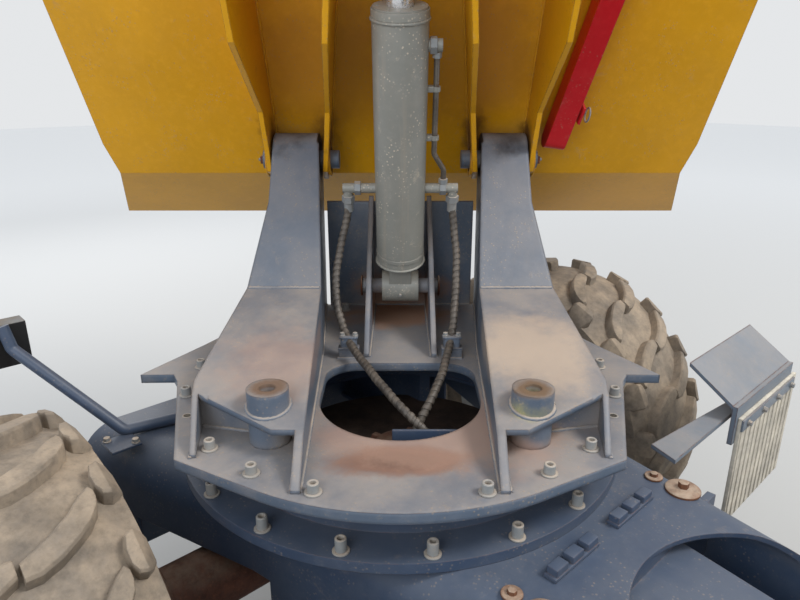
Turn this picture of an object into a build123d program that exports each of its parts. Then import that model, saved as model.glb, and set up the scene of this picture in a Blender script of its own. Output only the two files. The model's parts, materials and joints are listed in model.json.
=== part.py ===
from build123d import *
import os
from math import atan2, cos, degrees, hypot, radians, sin, tan

# A swivel site dumper with its skip raised and turned to the right.
# Millimetres. +Y is the machine's forward direction, +X its right, +Z up.
# The origin is on the floor, under the steering pivot between the two frames.

os.makedirs("parts", exist_ok=True)

# Machine layout
axle_y = 1320
track_half = 990
tyre_radius = 585
tyre_width = 440
rim_radius = 286
ring_y = 1150
deck_z = 912
gap = 5
seat_gap = 0.3
pin_fit = 0.05

# How the console and the skip stand
slew_angle = 43
skip_slope = 62

# Slew ring and console
flange_radius = 594
flange_thickness = 26
ring_hole_radius = 360
race_radius = 500
race_wall = 90
plate_top_z = 1070
plate_thickness = 25
plate_radius = 611
upper_ring_radius = 540
upper_ring_inner = 400
hole_radius = 207.5
hole_back_y = -140
hole_front_y = 80
hole_corner = 88
wall = 14
arm_inner_x = 235
arm_bend_y = 187
arm_bend_z = 1265
arm_step_y = -250
arm_step_z = 1175
arm_foot_y = -420
arm_front_y = 600
arm_head_radius = 85
boss_x = 297
boss_y = -340
boss_top_z = 1200
boss_radius = 47.5
boss_bore = 18
rib_x = 100
rib_thickness = 16
front_wall_y = 600
front_wall_half = 255
front_wall_top_z = 1450

# Skip pivot and tip ram, in the console's frame
pivot_y = 550
pivot_z = 1600
pivot_pin = 30
pin_reach_in = 50
pin_reach_out = 35
ram_base_y = 420
ram_base_z = 1200
barrel_radius = 75
barrel_length = 845
gland = 28
gland_length = barrel_length + gland
rod_radius = 35
rod_stop = 85
rod_inner_end = barrel_length - rod_stop
barrel_bore_end = 255
ram_pin = 25
rod_pin = 30
rod_pin_half = 90

# Skip, in its own frame: origin at the pivot, Y along the floor plate, Z into the load
floor_z = 90
shell = 8
fold_y = 120
floor_back_y = -1350
lip_y = 420
lip_z = 250
floor_half = 1020
fold_half = 998
lip_half = 1105
rim_half = 1092
outer_bracket_x = 418
inner_bracket_x = 252
inner_bracket_turn = 6
bracket_thickness = 16
rod_eye_y = -1282
rod_eye_z = -25

# Front frame
front_end_y = 1750
frame_wall = 12
frame_side_radius = 110
frame_bottom_z = 460
frame_back_y = 120
frame_half_at_back = 307
frame_half_at_ring = 500
frame_half_at_front = 690
bulkhead_y = 420
axle_arch_half = 230
axle_arch_top_z = 700
lug_low_z = 470
lug_high_z = 830
lug_thickness = 40
steer_pin = 35

# Rear frame and operator's place
chassis_half = 280
chassis_wall = 20
chassis_top_z = 900
chassis_bottom_z = 500
chassis_front_y = -300
chassis_back_y = -2150
floor_top_z = 965
floor_half_x = 450
rops_y = -1530
rops_half = 450
rops_tube = 80
rops_hinge_z = 2000
rops_top_z = 3180
bonnet_front_y = -1600
bonnet_back_y = -2300
bonnet_half = 420
deck_plate = 12
bonnet_bottom_z = chassis_top_z + deck_plate + seat_gap
bonnet_top_z = 1420
weight_half = 520

# Axles
axle_tube = 85
axle_flange = 120
axle_end = 790

# Steering ram, at rest parallel to the machine's middle
steer_ram_x = 170
steer_ram_z = 660
steer_base_y = -800
steer_eye_y = 50
steer_ram_pin = 16

# The four reference frames that the pieces are drawn in
chassis = Plane.XY
console = Plane(
    origin=(0, ring_y, 0),
    x_dir=(cos(radians(slew_angle)), -sin(radians(slew_angle)), 0),
    z_dir=(0, 0, 1),
)


def turned(frame, origin, slope):
    """A frame turned forwards by slope degrees about its own X, at a point of frame."""
    forward = Vector(frame.y_dir) * sin(radians(slope))
    up = Vector(frame.z_dir) * cos(radians(slope))
    return Plane(origin=frame.from_local_coords(origin), x_dir=frame.x_dir, z_dir=forward + up)


skip = turned(console, (0, pivot_y, pivot_z), skip_slope)

# The tip ram reaches from its base pin to the rod's pin under the skip
rod_eye = console.to_local_coords(skip.from_local_coords((0, rod_eye_y, rod_eye_z)))
ram_lean = degrees(atan2(ram_base_y - rod_eye.Y, rod_eye.Z - ram_base_z))
ram_length = hypot(ram_base_y - rod_eye.Y, rod_eye.Z - ram_base_z)
ram = turned(console, (0, ram_base_y, ram_base_z), -ram_lean)


def level(frame, height):
    """A plane for sketches of (right, forward) at a height."""
    return frame.offset(height)


def side(frame, right):
    """A plane for sketches of (forward, up), which pull out to the right."""
    origin = frame.from_local_coords((right, 0, 0))
    return Plane(origin=origin, x_dir=frame.y_dir, z_dir=frame.x_dir)


def cross(frame, forward):
    """A plane for sketches of (right, up), which pull out backwards."""
    origin = frame.from_local_coords((0, forward, 0))
    return Plane(origin=origin, x_dir=frame.x_dir, z_dir=-frame.y_dir)


def prism(plane, points, amount, both=False, mode=Mode.ADD):
    """A straight-edged outline pulled along its plane's normal."""
    with BuildSketch(plane) as outline:
        Polygon(*points, align=None)
    extrude(outline.sketch, amount=amount, both=both, mode=mode)


def block(frame, x, y, z, mode=Mode.ADD):
    """A box, with its low and high limit along each of the frame's axes."""
    corners = ((x[0], y[0]), (x[1], y[0]), (x[1], y[1]), (x[0], y[1]))
    prism(level(frame, z[0]), corners, z[1] - z[0], mode=mode)


def round_bar(frame, start, end, radius, mode=Mode.ADD):
    """A round bar between two points of a frame."""
    first = frame.from_local_coords(start)
    run = frame.from_local_coords(end) - first
    with BuildSketch(Plane(origin=first, z_dir=run)) as circle:
        Circle(radius)
    extrude(circle.sketch, amount=run.length, mode=mode)


def beam(frame, start, end, width, height):
    """A rectangular bar between two points of a frame, its width kept level."""
    first = frame.from_local_coords(start)
    run = frame.from_local_coords(end) - first
    across = run.cross(frame.z_dir)
    with BuildSketch(Plane(origin=first, x_dir=across, z_dir=run)) as section:
        Rectangle(width, height)
    extrude(section.sketch, amount=run.length)


def tube(frame, points, radius, bend):
    """A round tube through points of a frame, with one bend radius."""
    spots = [frame.from_local_coords(point) for point in points]
    with BuildLine() as route:
        FilletPolyline(*spots, radius=bend)
    with BuildSketch(Plane(origin=spots[0], z_dir=spots[1] - spots[0])) as section:
        Circle(radius)
    sweep(section.sketch, path=route.line)


# Wheels: name, which side, which axle
wheels = (
    ("front_left", -1, axle_y),
    ("front_right", 1, axle_y),
    ("rear_left", -1, -axle_y),
    ("rear_right", 1, -axle_y),
)
tread_half = 190
tyre_half = tyre_width / 2
bead_half = 165
bead_top = 310
shoulder_radius = tyre_radius - 22
rim_half_width = 182
rim_wall = 24
rim_flange_radius = 308
rim_flange = 14
disc_place = 20
disc_thickness = 16
hub_radius = 120
hub_out = 95
tyre_wall = 34

for name, hand, wheel_y in wheels:
    hub = Plane(origin=(hand * track_half, wheel_y, tyre_radius), x_dir=(hand, 0, 0), z_dir=(0, -hand, 0))
    spin_axis = Axis(hub.origin, hub.x_dir)

    with BuildPart() as tyre:
        with BuildSketch(hub):
            with BuildLine():
                Line((-bead_half, rim_radius + seat_gap), (bead_half, rim_radius + seat_gap))
                Line((bead_half, rim_radius + seat_gap), (bead_half, bead_top))
                ThreePointArc((bead_half, bead_top), (tyre_half, 430), (tread_half + 20, 530))
                Line((tread_half + 20, 530), (tread_half, shoulder_radius))
                ThreePointArc((tread_half, shoulder_radius), (0, tyre_radius), (-tread_half, shoulder_radius))
                Line((-tread_half, shoulder_radius), (-tread_half - 20, 530))
                ThreePointArc((-tread_half - 20, 530), (-tyre_half, 430), (-bead_half, bead_top))
                Line((-bead_half, bead_top), (-bead_half, rim_radius + seat_gap))
            make_face()
        revolve(axis=spin_axis)
        with BuildSketch(hub):
            with Locations((0, (rim_radius + shoulder_radius) / 2)):
                RectangleRounded(
                    2 * (bead_half - tyre_wall), shoulder_radius - rim_radius - 2 * tyre_wall, 60
                )
            with Locations((0, rim_radius + tyre_wall)):
                Rectangle(2 * (bead_half - 2 * tyre_wall), 4 * tyre_wall)
        revolve(axis=spin_axis, mode=Mode.SUBTRACT)
    tyre.part.label = "tyre_" + name
    export_step(tyre.part, "parts/tyre_" + name + ".step")

    with BuildPart() as rim:
        with BuildSketch(hub):
            with Locations((0, rim_radius - rim_wall / 2)):
                Rectangle(2 * rim_half_width, rim_wall)
            for end in (-1, 1):
                with Locations((end * (rim_half_width - rim_flange / 2), rim_flange_radius - 30)):
                    Rectangle(rim_flange, 60)
            with Locations((disc_place, rim_radius / 2)):
                Rectangle(disc_thickness, rim_radius - rim_wall)
            hub_in = axle_end + seat_gap - track_half
            with Locations(((hub_in + hub_out) / 2, hub_radius / 2)):
                Rectangle(hub_out - hub_in, hub_radius)
        revolve(axis=spin_axis)
    rim.part.label = "rim_" + name
    export_step(rim.part, "parts/rim_" + name + ".step")

# Axles: a tube with a round middle, flanged ends and two pads under the frame
diff_radius = 150
diff_half = 90
diff_slope = 120
pad_half_x = 60
pad_half_y = 90
flange_length = 120
front_pad_x = 300
rear_pad_x = chassis_half - 50

for name, place_y, pad_x, pad_top in (
    ("front_axle", axle_y, front_pad_x, axle_arch_top_z),
    ("rear_axle", -axle_y, rear_pad_x, axle_arch_top_z),
):
    with BuildPart() as axle:
        with BuildSketch(cross(chassis, place_y)):
            with Locations((0, tyre_radius + axle_tube / 2)):
                Rectangle(2 * axle_end - flange_length / 2, axle_tube)
            for end in (-1, 1):
                with Locations((end * (axle_end - flange_length / 2), tyre_radius + axle_flange / 2)):
                    Rectangle(flange_length, axle_flange)
            Polygon(
                (-diff_half - diff_slope, tyre_radius),
                (diff_half + diff_slope, tyre_radius),
                (diff_half + diff_slope, tyre_radius + axle_tube),
                (diff_half, tyre_radius + diff_radius),
                (-diff_half, tyre_radius + diff_radius),
                (-diff_half - diff_slope, tyre_radius + axle_tube),
                align=None,
            )
        revolve(axis=Axis((0, place_y, tyre_radius), (1, 0, 0)))
        for hand in (-1, 1):
            block(
                chassis,
                (hand * pad_x - pad_half_x, hand * pad_x + pad_half_x),
                (place_y - pad_half_y, place_y + pad_half_y),
                (tyre_radius, pad_top),
            )
    axle.part.label = name
    export_step(axle.part, "parts/" + name + ".step")


def frame_shell(inset):
    """The front frame's widening box, drawn in by inset."""
    stations = (
        (frame_half_at_back - inset, frame_back_y),
        (frame_half_at_ring - inset, ring_y),
        (frame_half_at_front - inset, front_end_y - inset),
    )
    mirrored = [(-half, y) for half, y in reversed(stations)]
    with BuildPart() as box:
        height = deck_z - inset - frame_bottom_z
        prism(level(chassis, frame_bottom_z), list(stations) + mirrored, height)
        top_edges = box.edges().group_by(Axis.Z)[-1]
        long_edges = [edge for edge in top_edges if abs((edge @ 1 - edge @ 0).Y) > frame_side_radius]
        fillet(long_edges, radius=frame_side_radius - inset)
    return box.part


# Front frame: an open-bottomed box with folded top edges, lugs at the steering pivot
recess_y = 100
recess_radius = 300
lug_reach = 95
lug_root_half = 160
steer_lug_x = (steer_ram_x - 45, steer_ram_x + 45)
rail_x = 290
rail_wall = 20
bulkhead_half = 345
ledge_x = (240, 475)
ledge_top_z = 716
fork_gap = 26
fork_wall = 15
tie_x = 480
tie_z = 595
tie_thickness = 20
tie_half = 45
tie_reach = 30
tie_bore = 25

outer_box = frame_shell(0)
inner_box = frame_shell(frame_wall)
with BuildPart() as front_frame:
    add(outer_box)
    add(inner_box, mode=Mode.SUBTRACT)
    block(
        chassis,
        (-2 * frame_half_at_front, 2 * frame_half_at_front),
        (axle_y - axle_arch_half, axle_y + axle_arch_half),
        (frame_bottom_z - 1, axle_arch_top_z),
        mode=Mode.SUBTRACT,
    )
    with BuildSketch(level(chassis, frame_bottom_z - 1)) as recess:
        with Locations((0, recess_y)):
            Circle(recess_radius)
    extrude(recess.sketch, amount=deck_z, mode=Mode.SUBTRACT)
    # Bulkhead, axle rails and cross members inside the box
    rail_y = (bulkhead_y - rail_wall, front_end_y - frame_wall / 2)
    rail_z = (axle_arch_top_z, deck_z - frame_wall)
    block(
        chassis,
        (-bulkhead_half, bulkhead_half),
        (bulkhead_y - rail_wall, bulkhead_y),
        (frame_bottom_z, deck_z - frame_wall),
    )
    for hand in (-1, 1):
        block(chassis, sorted((hand * rail_x, hand * (rail_x + rail_wall))), rail_y, rail_z)
        ledge_side = sorted((hand * ledge_x[0], hand * ledge_x[1]))
        ledge_y = (axle_y - axle_arch_half - 30, rail_y[1])
        block(chassis, ledge_side, ledge_y, (axle_arch_top_z, ledge_top_z))
    with BuildSketch(level(chassis, axle_arch_top_z - 1)) as ring_hole:
        with Locations((0, ring_y)):
            Circle(ring_hole_radius)
    extrude(ring_hole.sketch, amount=400, mode=Mode.SUBTRACT)
    # Lugs above and below the rear frame's knuckle
    for low in (lug_low_z, lug_high_z):
        with BuildSketch(level(chassis, low)) as lug:
            with BuildLine():
                Line((-lug_root_half, bulkhead_y - 10), (-lug_reach, 0))
                ThreePointArc((-lug_reach, 0), (0, -lug_reach), (lug_reach, 0))
                Line((lug_reach, 0), (lug_root_half, bulkhead_y - 10))
                Line((lug_root_half, bulkhead_y - 10), (-lug_root_half, bulkhead_y - 10))
            make_face()
            Circle(steer_pin + pin_fit, mode=Mode.SUBTRACT)
        extrude(lug.sketch, amount=lug_thickness)
    # A fork for the steering ram's eye
    for low in (steer_ram_z - fork_gap - fork_wall, steer_ram_z + fork_gap):
        block(chassis, steer_lug_x, (steer_eye_y - 40, bulkhead_y - 10), (low, low + fork_wall))
    # Flat tie-down eyes low on the front wall
    for hand in (-1, 1):
        left_x = hand * tie_x - tie_half
        right_x = hand * tie_x + tie_half
        root_y = front_end_y - frame_wall / 2
        middle_y = front_end_y + tie_reach
        with BuildSketch(level(chassis, tie_z)) as tie_eye:
            with BuildLine():
                Line((left_x, root_y), (left_x, middle_y))
                ThreePointArc((left_x, middle_y), (hand * tie_x, middle_y + tie_half), (right_x, middle_y))
                Line((right_x, middle_y), (right_x, root_y))
                Line((right_x, root_y), (left_x, root_y))
            make_face()
            with Locations((hand * tie_x, middle_y)):
                Circle(tie_bore, mode=Mode.SUBTRACT)
        extrude(tie_eye.sketch, amount=tie_thickness)
front_frame.part.label = "front_frame"
export_step(front_frame.part, "parts/front_frame.step")

# Slew ring, lower half on the deck and upper half under the console's plate
race_top_z = plate_top_z - plate_thickness - 54
with BuildPart() as slew_ring_lower:
    with BuildSketch(level(console, deck_z)):
        Circle(flange_radius)
        Circle(ring_hole_radius, mode=Mode.SUBTRACT)
    extrude(amount=flange_thickness)
    with BuildSketch(level(console, deck_z + flange_thickness)):
        Circle(race_radius)
        Circle(race_radius - race_wall, mode=Mode.SUBTRACT)
    extrude(amount=race_top_z - deck_z - flange_thickness)
slew_ring_lower.part.label = "slew_ring_lower"
export_step(slew_ring_lower.part, "parts/slew_ring_lower.step")

plate_bottom_z = plate_top_z - plate_thickness
with BuildPart() as slew_ring_upper:
    with BuildSketch(level(console, race_top_z + seat_gap)):
        Circle(upper_ring_radius)
        Circle(upper_ring_inner, mode=Mode.SUBTRACT)
    extrude(amount=plate_bottom_z - race_top_z - seat_gap)
slew_ring_upper.part.label = "slew_ring_upper"
export_step(slew_ring_upper.part, "parts/slew_ring_upper.step")

# Console plate: a round back, raked sides and two horns
arc_turn = radians(30)
corner = (492, -426)
notch = (610, -40)
horn_root = (634, 2)
horn = (726, 0)
horn_front = (607, 220)
plate_front = (420, 600)
with BuildPart() as console_plate:
    with BuildSketch(level(console, plate_bottom_z)) as plate_outline:
        with BuildLine():
            arc_end = (plate_radius * sin(arc_turn), -plate_radius * cos(arc_turn))
            ThreePointArc((-arc_end[0], arc_end[1]), (0, -plate_radius), arc_end)
            Polyline(arc_end, corner, notch, horn_root, horn, horn_front, plate_front)
            Line(plate_front, (-plate_front[0], plate_front[1]))
            Polyline(
                (-plate_front[0], plate_front[1]),
                (-horn_front[0], horn_front[1]),
                (-horn[0], horn[1]),
                (-horn_root[0], horn_root[1]),
                (-notch[0], notch[1]),
                (-corner[0], corner[1]),
                (-arc_end[0], arc_end[1]),
            )
        make_face()
        with Locations((-boss_x, boss_y), (boss_x, boss_y)):
            Circle(boss_bore, mode=Mode.SUBTRACT)
    extrude(amount=plate_thickness)
    with BuildSketch(level(console, plate_bottom_z)) as d_hole:
        with Locations((0, hole_back_y)):
            Circle(hole_radius)
        with Locations((0, (hole_back_y + hole_front_y) / 2)):
            Rectangle(2 * hole_radius, hole_front_y - hole_back_y)
        front_corners = d_hole.vertices().group_by(Axis.Y)[-1]
        fillet(front_corners, radius=hole_corner)
    extrude(amount=plate_thickness, mode=Mode.SUBTRACT)
console_plate.part.label = "console_plate"
export_step(console_plate.part, "parts/console_plate.step")

# Console arms: two hollow arms, open pockets at their feet, pins at their heads
head_y = pivot_y - 61
head_z = pivot_z + 59
head_straight_y = pivot_y - 190
head_inner_x = 268
head_outer_x = 410
bend_outer_x = 455
step_outer_x = 490
foot_outer_x = 460
foot_inner_x = 200
curb_width = 20
curb_y = -550
curb_z = plate_top_z + 8
pocket_y = -436
pocket_z = 1137
pocket_front_y = -300
front_inside_y = arm_front_y - wall - 90
beyond_y = curb_y - 60
with BuildPart() as console_arms:
    for hand in (-1, 1):
        profile = (
            (curb_y, plate_top_z),
            (curb_y, curb_z),
            (pocket_y, pocket_z),
            (arm_step_y, arm_step_z),
            (arm_bend_y, arm_bend_z),
            (head_y, head_z),
            (pivot_y + arm_head_radius, head_z),
            (pivot_y + arm_head_radius, pivot_z),
            (arm_front_y, plate_top_z),
        )
        plan = (
            (hand * foot_inner_x, curb_y),
            (hand * arm_inner_x, arm_bend_y),
            (hand * head_inner_x, pivot_y),
            (hand * head_inner_x, arm_front_y + 60),
            (hand * head_outer_x, arm_front_y + 60),
            (hand * head_outer_x, head_straight_y),
            (hand * bend_outer_x, arm_bend_y),
            (hand * step_outer_x, arm_step_y),
            (hand * foot_outer_x, arm_foot_y),
            (hand * (foot_inner_x + curb_width + 6), arm_foot_y),
            (hand * (foot_inner_x + curb_width), curb_y),
        )
        hollow = (
            (hand * (foot_inner_x + curb_width - 3), beyond_y),
            (hand * (arm_inner_x + curb_width), arm_bend_y),
            (hand * (head_inner_x + wall), front_inside_y),
            (hand * (head_outer_x - wall), front_inside_y),
            (hand * (head_outer_x - wall), head_straight_y),
            (hand * (bend_outer_x - wall), arm_bend_y),
            (hand * (step_outer_x - wall), arm_step_y),
            (hand * (foot_outer_x - 48), beyond_y),
        )
        with BuildPart() as arm:
            prism(level(console, plate_top_z), plan, head_z - plate_top_z)
            prism(side(console, 0), profile, 2 * step_outer_x, both=True, mode=Mode.INTERSECT)
            # The inside, up to the underside of the sloping top plate
            with BuildPart(mode=Mode.PRIVATE) as inside:
                prism(level(console, plate_top_z), hollow, head_z - plate_top_z)
                lower_profile = (
                    (beyond_y - 40, plate_top_z),
                    (pocket_y, pocket_z - wall),
                    (arm_step_y, arm_step_z - wall),
                    (arm_bend_y, arm_bend_z - wall),
                    (head_y - 60, head_z - 100),
                    (head_y - 60, plate_top_z),
                )
                prism(side(console, 0), lower_profile, 2 * step_outer_x, both=True, mode=Mode.INTERSECT)
            add(inside.part, mode=Mode.SUBTRACT)
            # The top plate ends on a diagonal behind the boss, which opens the pocket
            opening = (
                (hand * (foot_inner_x + curb_width + 5), pocket_y),
                (hand * (foot_inner_x + curb_width + 42), pocket_y + 6),
                (hand * (step_outer_x - wall - 9), pocket_front_y),
                (hand * (foot_outer_x - 48), beyond_y),
                (hand * (foot_inner_x + curb_width - 3), beyond_y),
            )
            prism(level(console, plate_top_z), opening, head_z - plate_top_z, mode=Mode.SUBTRACT)
            # The outer wall falls to the plate beside the pocket
            fall = (
                (pocket_front_y, arm_step_z - 7),
                (arm_foot_y - 5, plate_top_z + 4),
                (arm_foot_y - 5, head_z),
                (pocket_front_y, head_z),
            )
            fall_x = min(hand * (foot_outer_x - 20), hand * step_outer_x)
            prism(side(console, fall_x), fall, step_outer_x - foot_outer_x + 20, mode=Mode.SUBTRACT)
            # A rounded head about the pivot pin
            inner_face = min(hand * head_inner_x, hand * head_outer_x)
            with BuildSketch(side(console, inner_face)) as head:
                with Locations((pivot_y, pivot_z)):
                    Circle(arm_head_radius)
            extrude(head.sketch, amount=head_outer_x - head_inner_x)
            top_cut = (
                (head_y, head_z),
                (pivot_y, pivot_z),
                (pivot_y + arm_head_radius, pivot_z),
                (pivot_y + 3 * arm_head_radius, pivot_z),
                (pivot_y + 3 * arm_head_radius, head_z + 200),
                (head_y, head_z + 200),
            )
            with BuildPart(mode=Mode.PRIVATE) as trim:
                prism(side(console, 0), top_cut, 2 * step_outer_x, both=True)
                with BuildSketch(side(console, 0)) as keep:
                    with Locations((pivot_y, pivot_z)):
                        Circle(arm_head_radius)
                extrude(keep.sketch, amount=2 * step_outer_x, both=True, mode=Mode.SUBTRACT)
            add(trim.part, mode=Mode.SUBTRACT)
            round_bar(
                console,
                (hand * (inner_bracket_x - pin_reach_in), pivot_y, pivot_z),
                (hand * (outer_bracket_x + pin_reach_out), pivot_y, pivot_z),
                pivot_pin,
            )
            round_bar(
                console,
                (hand * boss_x, boss_y, plate_top_z),
                (hand * boss_x, boss_y, boss_top_z),
                boss_radius,
            )
            round_bar(
                console,
                (hand * boss_x, boss_y, plate_top_z - 1),
                (hand * boss_x, boss_y, boss_top_z + 1),
                boss_bore,
                mode=Mode.SUBTRACT,
            )
        add(arm.part)
console_arms.part.label = "console_arms"
export_step(console_arms.part, "parts/console_arms.step")

# Console ribs: two triangular ribs, the front wall and the ram's base pin
rib_back_y = 120
rib_top_z = 1470
with BuildPart() as console_ribs:
    for hand in (-1, 1):
        outline = (
            (rib_back_y, plate_top_z),
            (rib_back_y, plate_top_z + 12),
            (front_wall_y, rib_top_z),
            (front_wall_y, plate_top_z),
        )
        prism(side(console, hand * rib_x - rib_thickness / 2), outline, rib_thickness)
    block(
        console,
        (-front_wall_half, front_wall_half),
        (front_wall_y - 1, front_wall_y + wall),
        (plate_top_z, front_wall_top_z),
    )
    round_bar(
        console,
        (-rib_x - 25, ram_base_y, ram_base_z),
        (rib_x + 25, ram_base_y, ram_base_z),
        ram_pin,
    )
console_ribs.part.label = "console_ribs"
export_step(console_ribs.part, "parts/console_ribs.step")

# Hose clamp blocks at the D-hole's far corners
clamp_x = 152
clamp_y = 125
clamp_top_z = 1098
clamp_half_x = 30
clamp_half_y = 14
hose_radius = 11
with BuildPart() as hose_clamps:
    for hand in (-1, 1):
        block(
            console,
            (hand * clamp_x - clamp_half_x, hand * clamp_x + clamp_half_x),
            (clamp_y - clamp_half_y, clamp_y + clamp_half_y),
            (plate_top_z, clamp_top_z),
        )
hose_clamps.part.label = "hose_clamps"
export_step(hose_clamps.part, "parts/hose_clamps.step")

# Tip ram barrel, with its base eye, gland, two hose fittings and the pipe's port
fitting_reach = 360
fitting_x = 158
fitting_radius = 14
fitting_drop = 48
eye_radius = 52
base_eye_half = 60
base_root_z = 105
port_drop = 70
port_reach = barrel_length - port_drop
port_end_x = 112
port_radius = 17
with BuildPart() as ram_barrel:
    round_bar(ram, (-base_eye_half, 0, 0), (base_eye_half, 0, 0), eye_radius)
    block(ram, (-35, 35), (-40, 40), (0, base_root_z + 25))
    round_bar(ram, (0, 0, base_root_z), (0, 0, barrel_length), barrel_radius)
    round_bar(ram, (0, 0, barrel_length), (0, 0, gland_length), barrel_radius - 3)
    for hand in (-1, 1):
        elbow = (hand * fitting_x, 0, fitting_reach)
        elbow_end = (hand * (fitting_x + fitting_radius + 1), 0, fitting_reach)
        round_bar(ram, (hand * 55, 0, fitting_reach), elbow_end, fitting_radius + 1)
        round_bar(ram, elbow, (hand * fitting_x, 0, fitting_reach - fitting_drop), fitting_radius)
    round_bar(ram, (60, 0, port_reach), (port_end_x, 0, port_reach), port_radius)
    bore_radius = rod_radius + seat_gap
    round_bar(ram, (0, 0, barrel_bore_end), (0, 0, gland_length + 1), bore_radius, mode=Mode.SUBTRACT)
    pin_hole = ram_pin + pin_fit
    round_bar(ram, (-70, 0, 0), (70, 0, 0), pin_hole, mode=Mode.SUBTRACT)
ram_barrel.part.label = "ram_barrel"
export_step(ram_barrel.part, "parts/ram_barrel.step")

# Steel pipe from the right fitting up the barrel to the port near the gland
pipe_x = 98
pipe_foot_x = 128
pipe_radius = 8
pipe_bend = 20
pipe_rise = (60, 110)
with BuildPart() as ram_pipe:
    tube(
        ram,
        (
            (pipe_foot_x, 0, fitting_reach + fitting_radius + 1),
            (pipe_foot_x, 0, fitting_reach + pipe_rise[0]),
            (pipe_x, 0, fitting_reach + pipe_rise[1]),
            (pipe_x, 0, port_reach - port_radius),
        ),
        pipe_radius,
        pipe_bend,
    )
ram_pipe.part.label = "ram_pipe"
export_step(ram_pipe.part, "parts/ram_pipe.step")

# Tip ram rod, with an eye and a pin that stops short of the skip's plates
with BuildPart() as ram_rod:
    round_bar(ram, (0, 0, rod_inner_end), (0, 0, ram_length - 20), rod_radius)
    round_bar(ram, (-50, 0, ram_length), (50, 0, ram_length), 55)
    round_bar(ram, (-rod_pin_half, 0, ram_length), (rod_pin_half, 0, ram_length), rod_pin)
ram_rod.part.label = "ram_rod"
export_step(ram_rod.part, "parts/ram_rod.step")

# Skip shell: flat panels, each given by its outer corners
back_half = 600
back_top_half = 700
side_y = -750
side_half = 1040


def right_and_left(points):
    """An outline on the right side, and its mirror image."""
    return (points, [(-x, y, z) for x, y, z in points])


floor_back = (back_half, floor_back_y, floor_z)
floor_side = (side_half, side_y, floor_z)
floor_pivot = (floor_half, 0, floor_z)
floor_fold = (fold_half, fold_y, floor_z)
lip = (lip_half, lip_y, lip_z)
rim_front = (rim_half, 340, 640)
rim_side = (1119, side_y, 750)
rim_back = (back_top_half, -1450, 815)


def across(point):
    return (-point[0], point[1], point[2])


def inner(point):
    """The inner corner of the shell at an outer corner."""
    x, y, z = point
    inset = shell if x > 0 else -shell
    return (x - inset, y + (shell if y == floor_back_y or y == rim_back[1] else 0), z + rise(point))


def rise(point):
    """How far an inner corner stands above its outer one: the floor's thickness, and none at the rim."""
    return shell if point[2] == floor_z or point[2] == lip_z else 0


def flat_face(points):
    """One flat face of the shell, through points of the skip's frame."""
    return Face(Wire.make_polygon([skip.from_local_coords(point) for point in points], close=True))


# The shell's outlines on the right side, and those that cross the middle
side_outlines = (
    (floor_side, floor_pivot, rim_front),
    (floor_side, rim_front, rim_side),
    (floor_pivot, floor_fold, rim_front),
    (floor_fold, lip, rim_front),
    (floor_back, floor_side, rim_side),
    (floor_back, rim_side, rim_back),
)
middle_outlines = (
    [floor_fold, floor_pivot, floor_side, floor_back]
    + [across(floor_back), across(floor_side), across(floor_pivot), across(floor_fold)],
    [floor_fold, lip, across(lip), across(floor_fold)],
    [floor_back, rim_back, across(rim_back), across(floor_back)],
)
edge_line = (lip, rim_front, rim_side, rim_back)

skins = []
for outline in middle_outlines:
    skins.append(flat_face(outline))
    skins.append(flat_face([inner(point) for point in outline]))
for outline in side_outlines:
    for points in right_and_left(outline):
        skins.append(flat_face(points))
        skins.append(flat_face([inner(point) for point in points]))
for first, second in zip(edge_line, edge_line[1:]):
    for start, end in right_and_left((first, second)):
        skins.append(flat_face((start, end, inner(end))))
        skins.append(flat_face((start, inner(end), inner(start))))
for end in (lip, rim_back):
    skins.append(flat_face((end, across(end), inner(across(end)), inner(end))))
tub = Solid(Shell(skins))

with BuildPart() as skip_shell:
    add(tub)
skip_shell.part.label = "skip_shell"
export_step(skip_shell.part, "parts/skip_shell.step")

# Skip rim: a square section along the top edges, outside the shell
rim_size = 46
rim_line = [
    (x + rim_size / 2 + 3, y, z - rim_size / 2) for x, y, z in (rim_front, rim_side)
] + [(rim_back[0] + 10, rim_back[1] - rim_size / 2 - 8, rim_back[2] - rim_size / 2)]
with BuildPart() as skip_rim:
    for first, second in zip(rim_line, rim_line[1:]):
        for start, end in right_and_left((first, second)):
            beam(skip, start, end, rim_size, rim_size)
    beam(skip, rim_line[-1], across(rim_line[-1]), rim_size, rim_size)
    add(skip_shell.part, mode=Mode.SUBTRACT)
skip_rim.part.label = "skip_rim"
export_step(skip_rim.part, "parts/skip_rim.step")

# Skip brackets: two outer and two inner plates, rest feet and the prop's lugs
bracket_profile = (
    (110, floor_z),
    (75, -5),
    (0, -70),
    (-70, -60),
    (-207, -55),
    (-510, -235),
    (-900, -235),
    (-1200, -60),
    (-1330, -60),
    (-1330, floor_z),
)
foot_y = -954
foot_half = 45
foot_low_z = -188
foot_plate_x = 145
foot_plate_z = -150

# The prop leans inwards from its hinge, in a frame of its own
prop_x = 671
prop_hinge_y = -1050
prop_hinge_z = 35
prop_lean = 9.2
prop_pin = 14
prop_length = 1072
prop_half = 34
prop_wall = 6
prop_lug_x = 42
prop_lug_wall = 8
prop_lug_half = 40
prop_lug_drop = 30
bridge_end_x = 625
bridge_half = 25
catch_y = (870, 920)
lean = radians(prop_lean)
prop_frame = Plane(
    origin=skip.from_local_coords((prop_x, prop_hinge_y, prop_hinge_z)),
    x_dir=Vector(skip.x_dir) * cos(lean) + Vector(skip.y_dir) * sin(lean),
    z_dir=skip.z_dir,
)

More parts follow.
